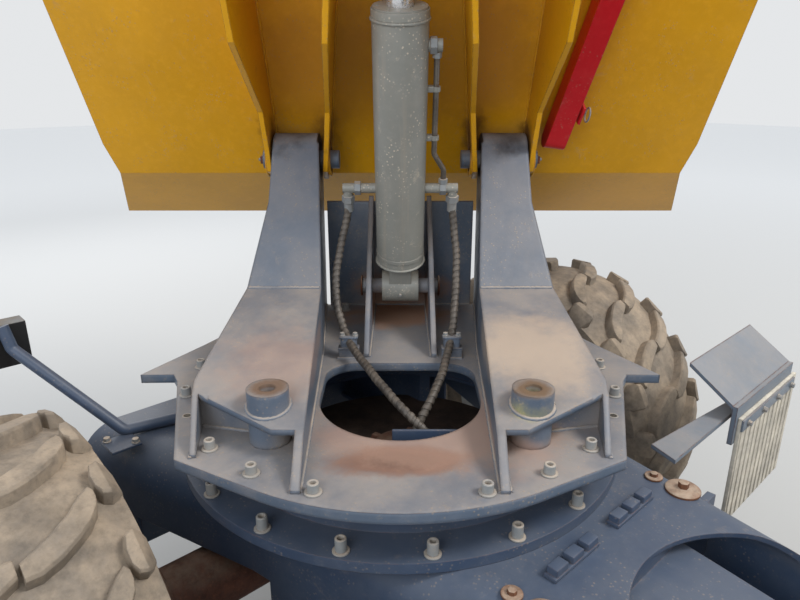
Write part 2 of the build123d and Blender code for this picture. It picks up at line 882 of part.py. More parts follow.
with BuildPart() as skip_brackets:
    for hand in (-1, 1):
        outer = side(skip, min(hand * outer_bracket_x, hand * (outer_bracket_x + bracket_thickness)))
        prism(outer, bracket_profile, bracket_thickness)
        turn = radians(inner_bracket_turn) * hand
        slanted = Plane(
            origin=skip.from_local_coords((hand * inner_bracket_x, 0, 0)),
            x_dir=Vector(skip.y_dir) * cos(turn) + Vector(skip.x_dir) * sin(turn),
            z_dir=Vector(skip.x_dir) * cos(turn) - Vector(skip.y_dir) * sin(turn),
        )
        prism(slanted, bracket_profile, -hand * bracket_thickness)
        # Rest foot over the console's boss, and its cross plate
        block(
            skip,
            (hand * boss_x - foot_half, hand * boss_x + foot_half),
            (foot_y - foot_half, foot_y + foot_half),
            (foot_low_z, floor_z),
        )
        block(
            skip,
            sorted((hand * foot_plate_x, hand * (outer_bracket_x + 2))),
            (foot_y - 6, foot_y + 6),
            (foot_plate_z, floor_z),
        )
    # Bores for the pivot pins and for the rod's pin
    reach_x = outer_bracket_x + 100
    pivot_bore = pivot_pin + pin_fit
    rod_bore = rod_pin + pin_fit
    round_bar(skip, (-reach_x, 0, 0), (reach_x, 0, 0), pivot_bore, mode=Mode.SUBTRACT)
    rod_bore_start = (-inner_bracket_x, rod_eye_y, rod_eye_z)
    rod_bore_end = (inner_bracket_x, rod_eye_y, rod_eye_z)
    round_bar(skip, rod_bore_start, rod_bore_end, rod_bore, mode=Mode.SUBTRACT)
    # Lugs and pin for the prop, their bridge from the bracket, and the catch
    lug_top = floor_z - prop_hinge_z
    for low in (-prop_lug_x - prop_lug_wall, prop_lug_x):
        lug_x = (low, low + prop_lug_wall)
        block(prop_frame, lug_x, (-prop_lug_half, prop_lug_half), (-prop_lug_drop, lug_top))
    pin_end = prop_lug_x + prop_lug_wall + 5
    round_bar(prop_frame, (-pin_end, 0, 0), (pin_end, 0, 0), prop_pin)
    block(
        skip,
        (outer_bracket_x + 10, bridge_end_x),
        (prop_hinge_y - bridge_half, prop_hinge_y + bridge_half),
        (prop_hinge_z - 20, floor_z),
    )
    block(prop_frame, (prop_lug_x, prop_lug_x + prop_lug_wall), catch_y, (-prop_half, lug_top))
skip_brackets.part.label = "skip_brackets"
export_step(skip_brackets.part, "parts/skip_brackets.step")

# Prop: a channel with rounded ends, open towards the floor plate
prop_middle_y = prop_length / 2 - prop_half
with BuildPart() as skip_prop:
    with BuildSketch(side(prop_frame, -prop_half)) as prop_outline:
        with Locations((prop_middle_y, 0)):
            SlotOverall(prop_length, 2 * prop_half)
    extrude(prop_outline.sketch, amount=2 * prop_half)
    with BuildSketch(side(prop_frame, -prop_half + prop_wall)) as prop_inside:
        with Locations((prop_middle_y, 0)):
            SlotOverall(prop_length - 2 * prop_wall, 2 * (prop_half - prop_wall))
        with Locations((prop_middle_y, prop_half / 2)):
            Rectangle(prop_length - 2 * prop_half, prop_half + 1)
    extrude(prop_inside.sketch, amount=2 * (prop_half - prop_wall), mode=Mode.SUBTRACT)
    hinge_bore = prop_pin + pin_fit
    round_bar(prop_frame, (-prop_half - 1, 0, 0), (prop_half + 1, 0, 0), hinge_bore, mode=Mode.SUBTRACT)
skip_prop.part.label = "skip_prop"
export_step(skip_prop.part, "parts/skip_prop.step")

# Lamp stalks and lamps in front of the front wheels
stalk_radius = 16
stalk_bend = 24
lamp_x = 800
lamp_y = (1866, 1926)
lamp_z = (1105, 1225)
lamp_half = 60
stalk_foot = (440, 1590)
stalk_turn = (600, 1630)
stalk_z = deck_z + stalk_radius + seat_gap
with BuildPart() as lamp_stalks:
    for hand in (-1, 1):
        stalk_points = (
            (hand * stalk_foot[0], stalk_foot[1], stalk_z),
            (hand * stalk_turn[0], stalk_turn[1], stalk_z),
            (hand * (lamp_x - 10), lamp_y[0] - stalk_radius - 15, sum(lamp_z) / 2),
            (hand * lamp_x, lamp_y[0] - stalk_radius, lamp_z[1] + 3),
        )
        tube(chassis, stalk_points, stalk_radius, stalk_bend)
lamp_stalks.part.label = "lamp_stalks"
export_step(lamp_stalks.part, "parts/lamp_stalks.step")

with BuildPart() as front_lamps:
    for hand in (-1, 1):
        block(chassis, (hand * lamp_x - lamp_half, hand * lamp_x + lamp_half), lamp_y, lamp_z)
front_lamps.part.label = "front_lamps"
export_step(front_lamps.part, "parts/front_lamps.step")

# Mudguards behind the front wheels, with their brackets
guard_inner_x = 690
guard_outer_x = 1150
guard_back_y = 490
guard_plate = 14
guard_front_y = 640
guard_half_z = 60
bracket_plate = 12
with BuildPart() as front_mudguards:
    for hand in (-1, 1):
        arm_outline = (
            (hand * 380, 520),
            (hand * 410, 600),
            (hand * 800, 560),
            (hand * guard_outer_x, guard_back_y + 20),
            (hand * guard_outer_x, guard_back_y),
            (hand * 800, 520),
        )
        prism(level(chassis, deck_z), arm_outline, bracket_plate)
        block(
            chassis,
            sorted((hand * guard_inner_x, hand * guard_outer_x)),
            (guard_back_y, guard_back_y + guard_plate),
            (deck_z - guard_half_z, deck_z + guard_half_z),
        )
        plate_outline = (
            (guard_back_y + guard_plate, deck_z + 50),
            (guard_back_y + guard_plate, deck_z + 62),
            (guard_front_y, deck_z + 152),
            (guard_front_y, deck_z + 140),
        )
        low_x = min(hand * guard_inner_x, hand * guard_outer_x)
        prism(side(chassis, low_x), plate_outline, guard_outer_x - guard_inner_x)
front_mudguards.part.label = "front_mudguards"
export_step(front_mudguards.part, "parts/front_mudguards.step")

flap_thickness = 10
flap_bottom_z = 570
with BuildPart() as mudflaps:
    for hand in (-1, 1):
        flap_back_y = guard_back_y - seat_gap - flap_thickness
        block(
            chassis,
            sorted((hand * (guard_inner_x + 20), hand * (guard_outer_x + 20))),
            (flap_back_y, flap_back_y + flap_thickness),
            (flap_bottom_z, deck_z + 20),
        )
mudflaps.part.label = "mudflaps"
export_step(mudflaps.part, "parts/mudflaps.step")

# Rear frame: two side plates, cross plates, the knuckle and the steering pin
knuckle_radius = 80
knuckle_half = 70
axle_ledge = 110
arch_flat = 170
middle_plate_y = -1040
window_half = 55
steer_lug_half = 35
steer_lug_gap = 26
steer_lug_wall = 15
with BuildPart() as rear_frame:
    for hand in (-1, 1):
        side_plate = (
            (chassis_front_y, chassis_bottom_z),
            (-axle_y + axle_arch_half, chassis_bottom_z),
            (-axle_y + arch_flat, axle_arch_top_z),
            (-axle_y - arch_flat, axle_arch_top_z),
            (-axle_y - axle_arch_half, chassis_bottom_z),
            (chassis_back_y, chassis_bottom_z),
            (chassis_back_y, chassis_top_z),
            (chassis_front_y, chassis_top_z),
        )
        low_x = min(hand * chassis_half, hand * (chassis_half - chassis_wall))
        prism(side(chassis, low_x), side_plate, chassis_wall)
        block(
            chassis,
            sorted((hand * (chassis_half - axle_ledge), hand * chassis_half)),
            (-axle_y - arch_flat, -axle_y + arch_flat),
            (axle_arch_top_z, ledge_top_z),
        )
    inner_half = chassis_half - chassis_wall + 1
    for y in (chassis_front_y, middle_plate_y, chassis_back_y + chassis_wall):
        plate_z = (chassis_bottom_z + 40, chassis_top_z)
        block(chassis, (-inner_half, inner_half), (y - chassis_wall, y), plate_z)
    # Window for the steering ram in the front cross plate
    block(
        chassis,
        (steer_ram_x - window_half, steer_ram_x + window_half),
        (chassis_front_y - 3 * chassis_wall, chassis_front_y + 1),
        (steer_ram_z - window_half, steer_ram_z + window_half),
        mode=Mode.SUBTRACT,
    )
    knuckle_low = lug_low_z + lug_thickness + gap
    knuckle_high = lug_high_z - gap
    block(chassis, (-knuckle_half, knuckle_half), (chassis_front_y - 5, 0), (knuckle_low, knuckle_high))
    round_bar(chassis, (0, 0, knuckle_low), (0, 0, knuckle_high), knuckle_radius)
    round_bar(chassis, (0, 0, lug_low_z - 12), (0, 0, lug_high_z + lug_thickness + 12), steer_pin)
    # Steering ram's base: two plates and a pin on the middle cross plate
    lug_x = (steer_ram_x - steer_lug_half, steer_ram_x + steer_lug_half)
    lug_y = (middle_plate_y - 5, steer_base_y + steer_lug_half)
    for low in (steer_ram_z - steer_lug_gap - steer_lug_wall, steer_ram_z + steer_lug_gap):
        block(chassis, lug_x, lug_y, (low, low + steer_lug_wall))
    base_pin_half = steer_lug_gap + steer_lug_wall
    round_bar(
        chassis,
        (steer_ram_x, steer_base_y, steer_ram_z - base_pin_half),
        (steer_ram_x, steer_base_y, steer_ram_z + base_pin_half),
        steer_ram_pin,
    )
    # Rear deck under the bonnet, and the roll bar's cross beam
    deck_half = weight_half - 10
    deck_layer = (chassis_top_z, chassis_top_z + deck_plate)
    block(chassis, (-deck_half, deck_half), (chassis_back_y, rops_y + 90), deck_layer)
rear_frame.part.label = "rear_frame"
export_step(rear_frame.part, "parts/rear_frame.step")

# Steering ram, along the machine at its own place and height
steer_barrel_radius = 34
steer_barrel_start = 45
steer_barrel_end = 470
steer_bore_start = 250
steer_rod_radius = 16
steer_rod_start = 362
steer_eye_half = 25
base_boss_radius = 30
rod_boss_radius = 28
neck_radius = 20


def steer_bar(start, end, radius, mode=Mode.ADD):
    """A round bar on the steering ram's line, from its base pin."""
    first = (steer_ram_x, steer_base_y + start, steer_ram_z)
    last = (steer_ram_x, steer_base_y + end, steer_ram_z)
    round_bar(chassis, first, last, radius, mode)


def steer_eye(y, half, radius, mode=Mode.ADD):
    """An upright round bar through one of the steering ram's ends."""
    low = (steer_ram_x, y, steer_ram_z - half)
    high = (steer_ram_x, y, steer_ram_z + half)
    round_bar(chassis, low, high, radius, mode)


with BuildPart() as steering_ram_barrel:
    steer_eye(steer_base_y, steer_eye_half, base_boss_radius)
    steer_bar(0, steer_barrel_start + 15, neck_radius)
    steer_bar(steer_barrel_start, steer_barrel_end, steer_barrel_radius)
    steer_bar(steer_bore_start, steer_barrel_end + 1, steer_rod_radius + seat_gap, mode=Mode.SUBTRACT)
    steer_eye(steer_base_y, steer_eye_half + 1, steer_ram_pin + pin_fit, mode=Mode.SUBTRACT)
steering_ram_barrel.part.label = "steering_ram_barrel"
export_step(steering_ram_barrel.part, "parts/steering_ram_barrel.step")

with BuildPart() as steering_ram_rod:
    steer_bar(steer_rod_start, steer_eye_y - steer_base_y - 10, steer_rod_radius)
    steer_eye(steer_eye_y, steer_eye_half, rod_boss_radius)
steering_ram_rod.part.label = "steering_ram_rod"
export_step(steering_ram_rod.part, "parts/steering_ram_rod.step")

# Operator's platform: floor plates, their bearers and the seat's box
platform_front_y = -365
platform_step_y = -715
platform_back_y = -1430
platform_half_x = 714
floor_plate = 10
bearer = 30
seat_box_half = 260
seat_box_front_y = -1080
seat_box_top_z = 1290
with BuildPart() as platform:
    floor_layer = (floor_top_z - floor_plate, floor_top_z)
    wide_half = platform_half_x + 6
    block(chassis, (-wide_half, wide_half), (platform_step_y, platform_front_y), floor_layer)
    block(chassis, (-floor_half_x, floor_half_x), (platform_back_y, platform_step_y + 1), floor_layer)
    for y in (platform_front_y - bearer, platform_step_y + bearer / 2, -1100):
        bearer_z = (chassis_top_z, floor_top_z - floor_plate + 1)
        block(chassis, (-chassis_half, chassis_half), (y - bearer, y), bearer_z)
    seat_box_y = (platform_back_y, seat_box_front_y)
    block(chassis, (-seat_box_half, seat_box_half), seat_box_y, (floor_top_z - 1, seat_box_top_z))
platform.part.label = "platform"
export_step(platform.part, "parts/platform.step")

# Access steps, hung under both ends of the platform
step_foot_x = platform_half_x + 136
step_foot_z = 440
step_plate = 12
upright_y = (-660, -430)
tread_y = (-675, -425)
tread_thickness = 14
# Treads: height, inner and outer reach
treads = (
    (445, platform_half_x + 56, platform_half_x + 226),
    (690, platform_half_x + 16, platform_half_x + 146),
)
with BuildPart() as steps:
    for hand in (-1, 1):
        for y in upright_y:
            upright = (
                (hand * platform_half_x, floor_top_z - floor_plate),
                (hand * platform_half_x, floor_top_z - 3 * floor_plate),
                (hand * step_foot_x, step_foot_z),
                (hand * (step_foot_x + step_plate), step_foot_z),
                (hand * (platform_half_x + step_plate), floor_top_z - floor_plate),
            )
            prism(cross(chassis, y), upright, 10)
        for z, low, high in treads:
            block(chassis, sorted((hand * low, hand * high)), tread_y, (z, z + tread_thickness))
        block(
            chassis,
            sorted((hand * (platform_half_x - 14), hand * (platform_half_x + step_plate))),
            (upright_y[0] - 10, upright_y[1]),
            (floor_top_z - 3 * floor_plate, floor_top_z - floor_plate),
        )
steps.part.label = "steps"
export_step(steps.part, "parts/steps.step")

# Tanks under the platform, one each side
tank_inset = 74
tank_x = platform_half_x - tank_inset
tank_y = (-690, -390)
tank_bottom_z = 540
with BuildPart() as tanks:
    for hand in (-1, 1):
        tank_side = sorted((hand * chassis_half, hand * tank_x))
        block(chassis, tank_side, tank_y, (tank_bottom_z, floor_top_z - floor_plate))
tanks.part.label = "tanks"
export_step(tanks.part, "parts/tanks.step")

# Cowl in front of the operator, steering column and wheel
cowl_half = 300
cowl_profile = (
    (-440, floor_top_z),
    (-440, 1330),
    (-500, 1430),
    (-600, 1450),
    (-680, 1330),
    (-640, floor_top_z),
)
cowl_edge = 25
with BuildPart() as cowl:
    prism(side(chassis, -cowl_half), cowl_profile, 2 * cowl_half)
    fillet(cowl.edges().filter_by(Axis.X).group_by(Axis.Z)[-1], radius=cowl_edge)
cowl.part.label = "cowl"
export_step(cowl.part, "parts/cowl.step")

column_foot = (0, -650, 1390)
column_top = (0, -810, 1560)
column_radius = 26
grip_circle = 175
grip_radius = 14
grip_height = 18
hub_cap_radius = 34
spoke_radius = 8
with BuildPart() as steering_column:
    round_bar(chassis, column_foot, column_top, column_radius)
    add(cowl.part, mode=Mode.SUBTRACT)
steering_column.part.label = "steering_column"
export_step(steering_column.part, "parts/steering_column.step")

column_run = Vector(*column_top) - Vector(*column_foot)
wheel_plane = Plane(origin=column_top, x_dir=(1, 0, 0), z_dir=column_run)
grip_origin = wheel_plane.from_local_coords((grip_circle, 0, grip_height))
grip_plane = Plane(origin=grip_origin, x_dir=wheel_plane.x_dir, z_dir=wheel_plane.y_dir)
with BuildPart() as steering_wheel:
    with BuildSketch(grip_plane):
        Circle(grip_radius)
    revolve(axis=Axis(wheel_plane.origin, wheel_plane.z_dir))
    with BuildSketch(wheel_plane):
        Circle(hub_cap_radius)
    extrude(amount=grip_height + 12)
    for angle in (90, 210, 330):
        reach = grip_circle - grip_radius / 2
        spoke_end = (reach * cos(radians(angle)), reach * sin(radians(angle)), grip_height)
        round_bar(wheel_plane, (0, 0, grip_height - 3), spoke_end, spoke_radius)
steering_wheel.part.label = "steering_wheel"
export_step(steering_wheel.part, "parts/steering_wheel.step")

# Seat: one padded shape on its box
seat_half = 235
seat_foot_z = seat_box_top_z + seat_gap
seat_profile = (
    (-1085, seat_foot_z),
    (-1085, 1390),
    (-1330, 1385),
    (-1400, 1760),
    (-1455, 1760),
    (-1425, seat_foot_z),
)
with BuildPart() as seat:
    prism(side(chassis, -seat_half), seat_profile, 2 * seat_half)
seat.part.label = "seat"
export_step(seat.part, "parts/seat.step")

# Engine, as one plain block on the frame
engine_half = 220
engine_y = (-2080, -1720)
engine_top_z = 1250
with BuildPart() as engine_block:
    block(chassis, (-engine_half, engine_half), engine_y, (chassis_top_z + deck_plate, engine_top_z))
engine_block.part.label = "engine_block"
export_step(engine_block.part, "parts/engine_block.step")

# Bonnet: an open-bottomed cover, hinged at its lower back edge
bonnet_wall = 12
bonnet_hinge_y = bonnet_back_y - 16
bonnet_hinge_z = bonnet_bottom_z + 17.7
knuckle_x = (200, 300)
hinge_knuckle = 14
with BuildPart() as bonnet:
    bonnet_profile = (
        (bonnet_front_y, bonnet_bottom_z),
        (bonnet_front_y, bonnet_top_z),
        (bonnet_back_y + 130, bonnet_top_z - 30),
        (bonnet_back_y, bonnet_top_z - 150),
        (bonnet_back_y, bonnet_bottom_z),
    )
    prism(side(chassis, -bonnet_half), bonnet_profile, 2 * bonnet_half)
    fillet(bonnet.edges().filter_by(Axis.X).group_by(Axis.Z)[-1], radius=40)
    offset(amount=-bonnet_wall, openings=bonnet.faces().sort_by(Axis.Z)[0])
    # Hinge knuckles on leaves behind the back wall
    for hand in (-1, 1):
        near, far = hand * knuckle_x[0], hand * knuckle_x[1]
        hinge_start = (near, bonnet_hinge_y, bonnet_hinge_z)
        hinge_end = (far, bonnet_hinge_y, bonnet_hinge_z)
        round_bar(chassis, hinge_start, hinge_end, hinge_knuckle)
        leaf_y = (bonnet_hinge_y, bonnet_back_y + bonnet_wall / 2)
        block(chassis, sorted((near, far)), leaf_y, (bonnet_hinge_z, bonnet_hinge_z + hinge_knuckle / 2))
bonnet.part.label = "bonnet"
export_step(bonnet.part, "parts/bonnet.step")

# Counterweight with the tow jaw
jaw_bore = 16.5
jaw_y = -2400
jaw_half = 50
jaw_plate = 25
jaw_low_z = (600, 700)
weight_back_y = -2340
weight_bottom_z = 520
weight_corner_x = 80
weight_corner_y = 60
with BuildPart() as counterweight:
    weight_outline = (
        (-weight_half, chassis_back_y),
        (weight_half, chassis_back_y),
        (weight_half, weight_back_y + weight_corner_y),
        (weight_half - weight_corner_x, weight_back_y),
        (-weight_half + weight_corner_x, weight_back_y),
        (-weight_half, weight_back_y + weight_corner_y),
    )
    weight_height = chassis_top_z + deck_plate - weight_bottom_z
    prism(level(chassis, weight_bottom_z), weight_outline, weight_height)
    root_y = weight_back_y + 5
    for low in jaw_low_z:
        with BuildSketch(level(chassis, low)) as jaw:
            with BuildLine():
                Line((-jaw_half - 10, root_y), (-jaw_half, jaw_y))
                ThreePointArc((-jaw_half, jaw_y), (0, jaw_y - jaw_half), (jaw_half, jaw_y))
                Line((jaw_half, jaw_y), (jaw_half + 10, root_y))
                Line((jaw_half + 10, root_y), (-jaw_half - 10, root_y))
            make_face()
            with Locations((0, jaw_y)):
                Circle(jaw_bore, mode=Mode.SUBTRACT)
        extrude(jaw.sketch, amount=jaw_plate)
counterweight.part.label = "counterweight"
export_step(counterweight.part, "parts/counterweight.step")

# Rear lamps on the counterweight
rear_lamp_x = 350
rear_lamp_half = 70
rear_lamp_depth = 35
rear_lamp_z = (820, 900)
with BuildPart() as rear_lamps:
    for hand in (-1, 1):
        block(
            chassis,
            (hand * rear_lamp_x - rear_lamp_half, hand * rear_lamp_x + rear_lamp_half),
            (weight_back_y - rear_lamp_depth, weight_back_y),
            rear_lamp_z,
        )
rear_lamps.part.label = "rear_lamps"
export_step(rear_lamps.part, "parts/rear_lamps.step")

# Rear mudguards: arched plates over the rear wheels, on brackets from the frame
guard_radius = tyre_radius + 50
guard_thickness = 8
guard_span = 62
rear_guard_x = (700, 1210)
bracket_end_x = rear_guard_x[0] + bracket_plate + 2
bracket_y = (-1400, -1240)


def around_wheel(reach, angle):
    """A point (forward, up) at a distance from the rear axle, angle degrees forward of the top."""
    return (-axle_y + reach * sin(radians(angle)), tyre_radius + reach * cos(radians(angle)))


with BuildPart() as rear_mudguards:
    for hand in (-1, 1):
        low_x = min(hand * rear_guard_x[0], hand * rear_guard_x[1])
        under = [around_wheel(guard_radius, angle) for angle in (-guard_span, 0, guard_span)]
        over = [around_wheel(guard_radius + guard_thickness, angle) for angle in (guard_span, 0, -guard_span)]
        with BuildSketch(side(chassis, low_x)) as guard:
            with BuildLine():
                ThreePointArc(*under)
                Line(under[-1], over[0])
                ThreePointArc(*over)
                Line(over[-1], under[0])
            make_face()
        extrude(guard.sketch, amount=rear_guard_x[1] - rear_guard_x[0])
        block(
            chassis,
            sorted((hand * floor_half_x, hand * bracket_end_x)),
            bracket_y,
            (floor_top_z - floor_plate, floor_top_z),
        )
        bracket_side = sorted((hand * (bracket_end_x - bracket_plate), hand * bracket_end_x))
        bracket_top = tyre_radius + guard_radius + guard_thickness / 4
        block(chassis, bracket_side, bracket_y, (floor_top_z - floor_plate, bracket_top))
rear_mudguards.part.label = "rear_mudguards"
export_step(rear_mudguards.part, "parts/rear_mudguards.step")

# Roll bar: fixed posts, and a hoop that folds back on two hinge pins
hinge_pin = 12
tube_half = rops_tube / 2
hoop_half = 30
hoop_corner = 100
ear_plate = 10
with BuildPart() as rops_posts:
    for hand in (-1, 1):
        block(
            chassis,
            (hand * rops_half - tube_half, hand * rops_half + tube_half),
            (rops_y - tube_half, rops_y + tube_half),
            (chassis_top_z + deck_plate, rops_hinge_z - 55),
        )
        for ear in (-tube_half, tube_half - ear_plate):
            block(
                chassis,
                (hand * rops_half + ear, hand * rops_half + ear + ear_plate),
                (rops_y - tube_half, rops_y + tube_half),
                (rops_hinge_z - 56, rops_hinge_z + 40),
            )
        round_bar(
            chassis,
            (hand * rops_half - tube_half - 8, rops_y, rops_hinge_z),
            (hand * rops_half + tube_half + 8, rops_y, rops_hinge_z),
            hinge_pin,
        )
rops_posts.part.label = "rops_posts"
export_step(rops_posts.part, "parts/rops_posts.step")

ear_gap = 1
with BuildPart() as rops_hoop:
    hoop_x = tube_half - ear_plate - ear_gap
    for hand in (-1, 1):
        block(
            chassis,
            (hand * rops_half - hoop_x, hand * rops_half + hoop_x),
            (rops_y - hoop_half, rops_y + hoop_half),
            (rops_hinge_z - 20, rops_top_z),
        )
        round_bar(
            chassis,
            (hand * rops_half - hoop_x, rops_y, rops_hinge_z),
            (hand * rops_half + hoop_x, rops_y, rops_hinge_z),
            hoop_half,
        )
    block(
        chassis,
        (-rops_half - hoop_x, rops_half + hoop_x),
        (rops_y - hoop_half, rops_y + hoop_half),
        (rops_top_z - 2 * hoop_half, rops_top_z),
    )
    across_edges = rops_hoop.edges().filter_by(Axis.Y).group_by(Axis.Z)
    fillet(across_edges[-1], radius=hoop_corner)
    fillet(across_edges[-2], radius=hoop_corner - 2 * hoop_half)
    round_bar(
        chassis,
        (-rops_half - rops_tube, rops_y, rops_hinge_z),
        (rops_half + rops_tube, rops_y, rops_hinge_z),
        hinge_pin + pin_fit,
        mode=Mode.SUBTRACT,
    )
rops_hoop.part.label = "rops_hoop"
export_step(rops_hoop.part, "parts/rops_hoop.step")

beacon_x = -250
beacon_foot = 30
beacon_height = 120
beacon_foot_radius = 55
beacon_radius = 48
beacon_edge = 20
with BuildPart() as beacon:
    foot_top = (beacon_x, rops_y, rops_top_z + beacon_foot)
    dome_top = (beacon_x, rops_y, rops_top_z + beacon_height)
    round_bar(chassis, (beacon_x, rops_y, rops_top_z), foot_top, beacon_foot_radius)
    round_bar(chassis, foot_top, dome_top, beacon_radius)
    fillet(beacon.edges().filter_by(GeomType.CIRCLE).group_by(Axis.Z)[-1], radius=beacon_edge)
beacon.part.label = "beacon"
export_step(beacon.part, "parts/beacon.step")

# Exhaust pipe beside the bonnet
exhaust_x = 478
exhaust_y = -1750
exhaust_elbow_z = 1700
exhaust_radius = 28
silencer_radius = 42
silencer_z = (1080, 1420)
exhaust_points = (
    (exhaust_x, exhaust_y, chassis_top_z + deck_plate),
    (exhaust_x, exhaust_y, exhaust_elbow_z),
    (exhaust_x, exhaust_y - 80, exhaust_elbow_z + 90),
)
with BuildPart() as exhaust:
    tube(chassis, exhaust_points, exhaust_radius, 60)
    silencer_foot = (exhaust_x, exhaust_y, silencer_z[0])
    silencer_top = (exhaust_x, exhaust_y, silencer_z[1])
    round_bar(chassis, silencer_foot, silencer_top, silencer_radius)
exhaust.part.label = "exhaust"
export_step(exhaust.part, "parts/exhaust.step")

# Hoses: from the ram's fittings, through the clamps, down the D-hole.
# Points in the console's frame.
hose_left_points = (
    (-158, 324.5, 1493.6),
    (-161, 330, 1462),
    (-174, 320, 1405),
    (-190, 290, 1340),
    (-198, 248, 1272),
    (-192, 205, 1205),
    (-173, 164, 1152),
    (-150, 122, 1119),
    (-128, 70, 1108),
    (-100, 10, 1099),
    (-66, -60, 1090),
    (-28, -128, 1074),
    (20, -180, 1044),
    (72, -206, 1004),
    (92, -214, 950),
    (98, -216, 900),
)
hose_right_points = (
    (158, 324.5, 1493.6),
    (160, 331, 1462),
    (168, 324, 1405),
    (174, 298, 1340),
    (172, 258, 1272),
    (166, 214, 1207),
    (158, 168, 1154),
    (148, 122, 1119),
    (136, 70, 1107),
    (124, 10, 1096),
    (108, -50, 1078),
    (82, -104, 1050),
    (52, -146, 1010),
    (30, -168, 958),
    (22, -176, 900),
)


def bend_radii(points):
    """An arc as large as its two runs allow, at each inner point."""
    radii = []
    for before, here, after in zip(points, points[1:], points[2:]):
        first = Vector(*here) - Vector(*before)
        second = Vector(*after) - Vector(*here)
        turn = first.get_angle(second)
        radii.append(0.45 * min(first.length, second.length) / tan(radians(turn / 2)))
    return radii


with BuildPart() as hose_left:
    left_spots = [console.from_local_coords(point) for point in hose_left_points]
    with BuildLine() as left_route:
        FilletPolyline(*left_spots, radius=bend_radii(hose_left_points))
    with BuildSketch(Plane(origin=left_spots[0], z_dir=left_spots[1] - left_spots[0])):
        Circle(hose_radius)
    sweep(path=left_route.line)
hose_left.part.label = "hose_left"
export_step(hose_left.part, "parts/hose_left.step")

with BuildPart() as hose_right:
    right_spots = [console.from_local_coords(point) for point in hose_right_points]
    with BuildLine() as right_route:
        FilletPolyline(*right_spots, radius=bend_radii(hose_right_points))
    with BuildSketch(Plane(origin=right_spots[0], z_dir=right_spots[1] - right_spots[0])):
        Circle(hose_radius)
    sweep(path=right_route.line)
hose_right.part.label = "hose_right"
export_step(hose_right.part, "parts/hose_right.step")

for label, points, route in (
    ("left hose", hose_left_points, left_route),
    ("right hose", hose_right_points, right_route),
):
    length = route.wires()[0].length
    print(label, "length", round(length), "least bend radius", round(min(bend_radii(points))))
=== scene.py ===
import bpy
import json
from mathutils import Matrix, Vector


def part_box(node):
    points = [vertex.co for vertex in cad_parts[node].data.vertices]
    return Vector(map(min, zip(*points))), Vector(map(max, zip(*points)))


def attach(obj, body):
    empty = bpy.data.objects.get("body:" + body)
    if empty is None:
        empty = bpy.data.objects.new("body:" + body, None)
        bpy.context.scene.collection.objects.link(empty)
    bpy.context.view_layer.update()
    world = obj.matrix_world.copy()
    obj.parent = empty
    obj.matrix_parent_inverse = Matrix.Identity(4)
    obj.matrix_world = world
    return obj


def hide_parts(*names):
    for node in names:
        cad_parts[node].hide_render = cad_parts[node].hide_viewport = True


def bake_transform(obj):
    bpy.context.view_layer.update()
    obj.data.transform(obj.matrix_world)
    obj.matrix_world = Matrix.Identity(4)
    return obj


bl_info = {
    "name": "Swivel Site Dumper",
    "version": (1, 0, 0),
    "blender": (4, 5, 0),
    "location": "3D View > Sidebar > Dumper",
    "description": "Finishes, tyres, hoses, fasteners and small parts of a swivel site dumper",
    "category": "Object",
}

import json
from math import cos, pi, radians, sin, sqrt

import bmesh
import bpy
from bpy.props import FloatProperty, FloatVectorProperty, IntProperty, PointerProperty
from mathutils import Matrix, Vector

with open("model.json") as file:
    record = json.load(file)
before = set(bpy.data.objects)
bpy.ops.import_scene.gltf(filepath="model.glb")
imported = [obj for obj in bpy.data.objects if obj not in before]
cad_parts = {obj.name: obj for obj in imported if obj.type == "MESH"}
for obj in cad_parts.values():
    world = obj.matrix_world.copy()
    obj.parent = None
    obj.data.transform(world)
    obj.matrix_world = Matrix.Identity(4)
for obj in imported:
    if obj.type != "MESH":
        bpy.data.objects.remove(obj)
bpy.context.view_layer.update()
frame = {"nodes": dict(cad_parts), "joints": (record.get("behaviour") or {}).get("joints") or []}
joints = {joint["name"]: joint for joint in frame["joints"]}


def axes_at(origin, x_axis, z_axis):
    """The placement of a frame from its origin and two of its axes."""
    x = Vector(x_axis).normalized()
    z = Vector(z_axis).normalized()
    columns = Matrix((x, z.cross(x), z)).transposed()
    return Matrix.Translation(Vector(origin)) @ columns.to_4x4()


# The frames that pieces are drawn in: X to the right, Y forwards, Z up
SKIP_SLOPE = radians(62)
CHASSIS = Matrix.Identity(4)
RIGHT = -Vector(joints["tip"]["axis"])
FORWARD = Vector((0, 0, 1)).cross(RIGHT)
slew_place = joints["slew"]["pos_m"]
CONSOLE = axes_at((slew_place[0], slew_place[1], 0), RIGHT, (0, 0, 1))
SKIP = axes_at(joints["tip"]["pos_m"], RIGHT, FORWARD * sin(SKIP_SLOPE) + Vector((0, 0, cos(SKIP_SLOPE))))
RAM = axes_at(joints["ram_swing"]["pos_m"], RIGHT, joints["ram_extend"]["axis"])
PROP = axes_at(joints["prop_swing"]["pos_m"], -Vector(joints["prop_swing"]["axis"]), SKIP.col[2].xyz)
WHEEL = axes_at((0, -0.81, 1.56), (1, 0, 0), (0, -0.16, 0.17))

# Which way is out for each hand, and for each wheel
HANDS = (-1, 1)
WHEEL_HANDS = {"front_left": -1, "front_right": 1, "rear_left": -1, "rear_right": 1}

# Levels of the console's plate, the front frame's deck and the platform's floor
PLATE_TOP = 1.07
DECK = 0.912
FLOOR_TOP = 0.965

WASHER_THICKNESS = 0.004
BEVEL_ANGLE = radians(30)


def srgb(red, green, blue):
    """A colour as it looks on screen, given from 0 to 255, as Blender's linear numbers."""
    return tuple((part / 255) ** 2.2 for part in (red, green, blue))


def colour_of(label, about, red, green, blue):
    return FloatVectorProperty(
        name=label, description=about, subtype="COLOR", size=3, min=0, max=1, default=srgb(red, green, blue)
    )


def length_of(label, about, metres):
    return FloatProperty(name=label, description=about, unit="LENGTH", default=metres, min=0)


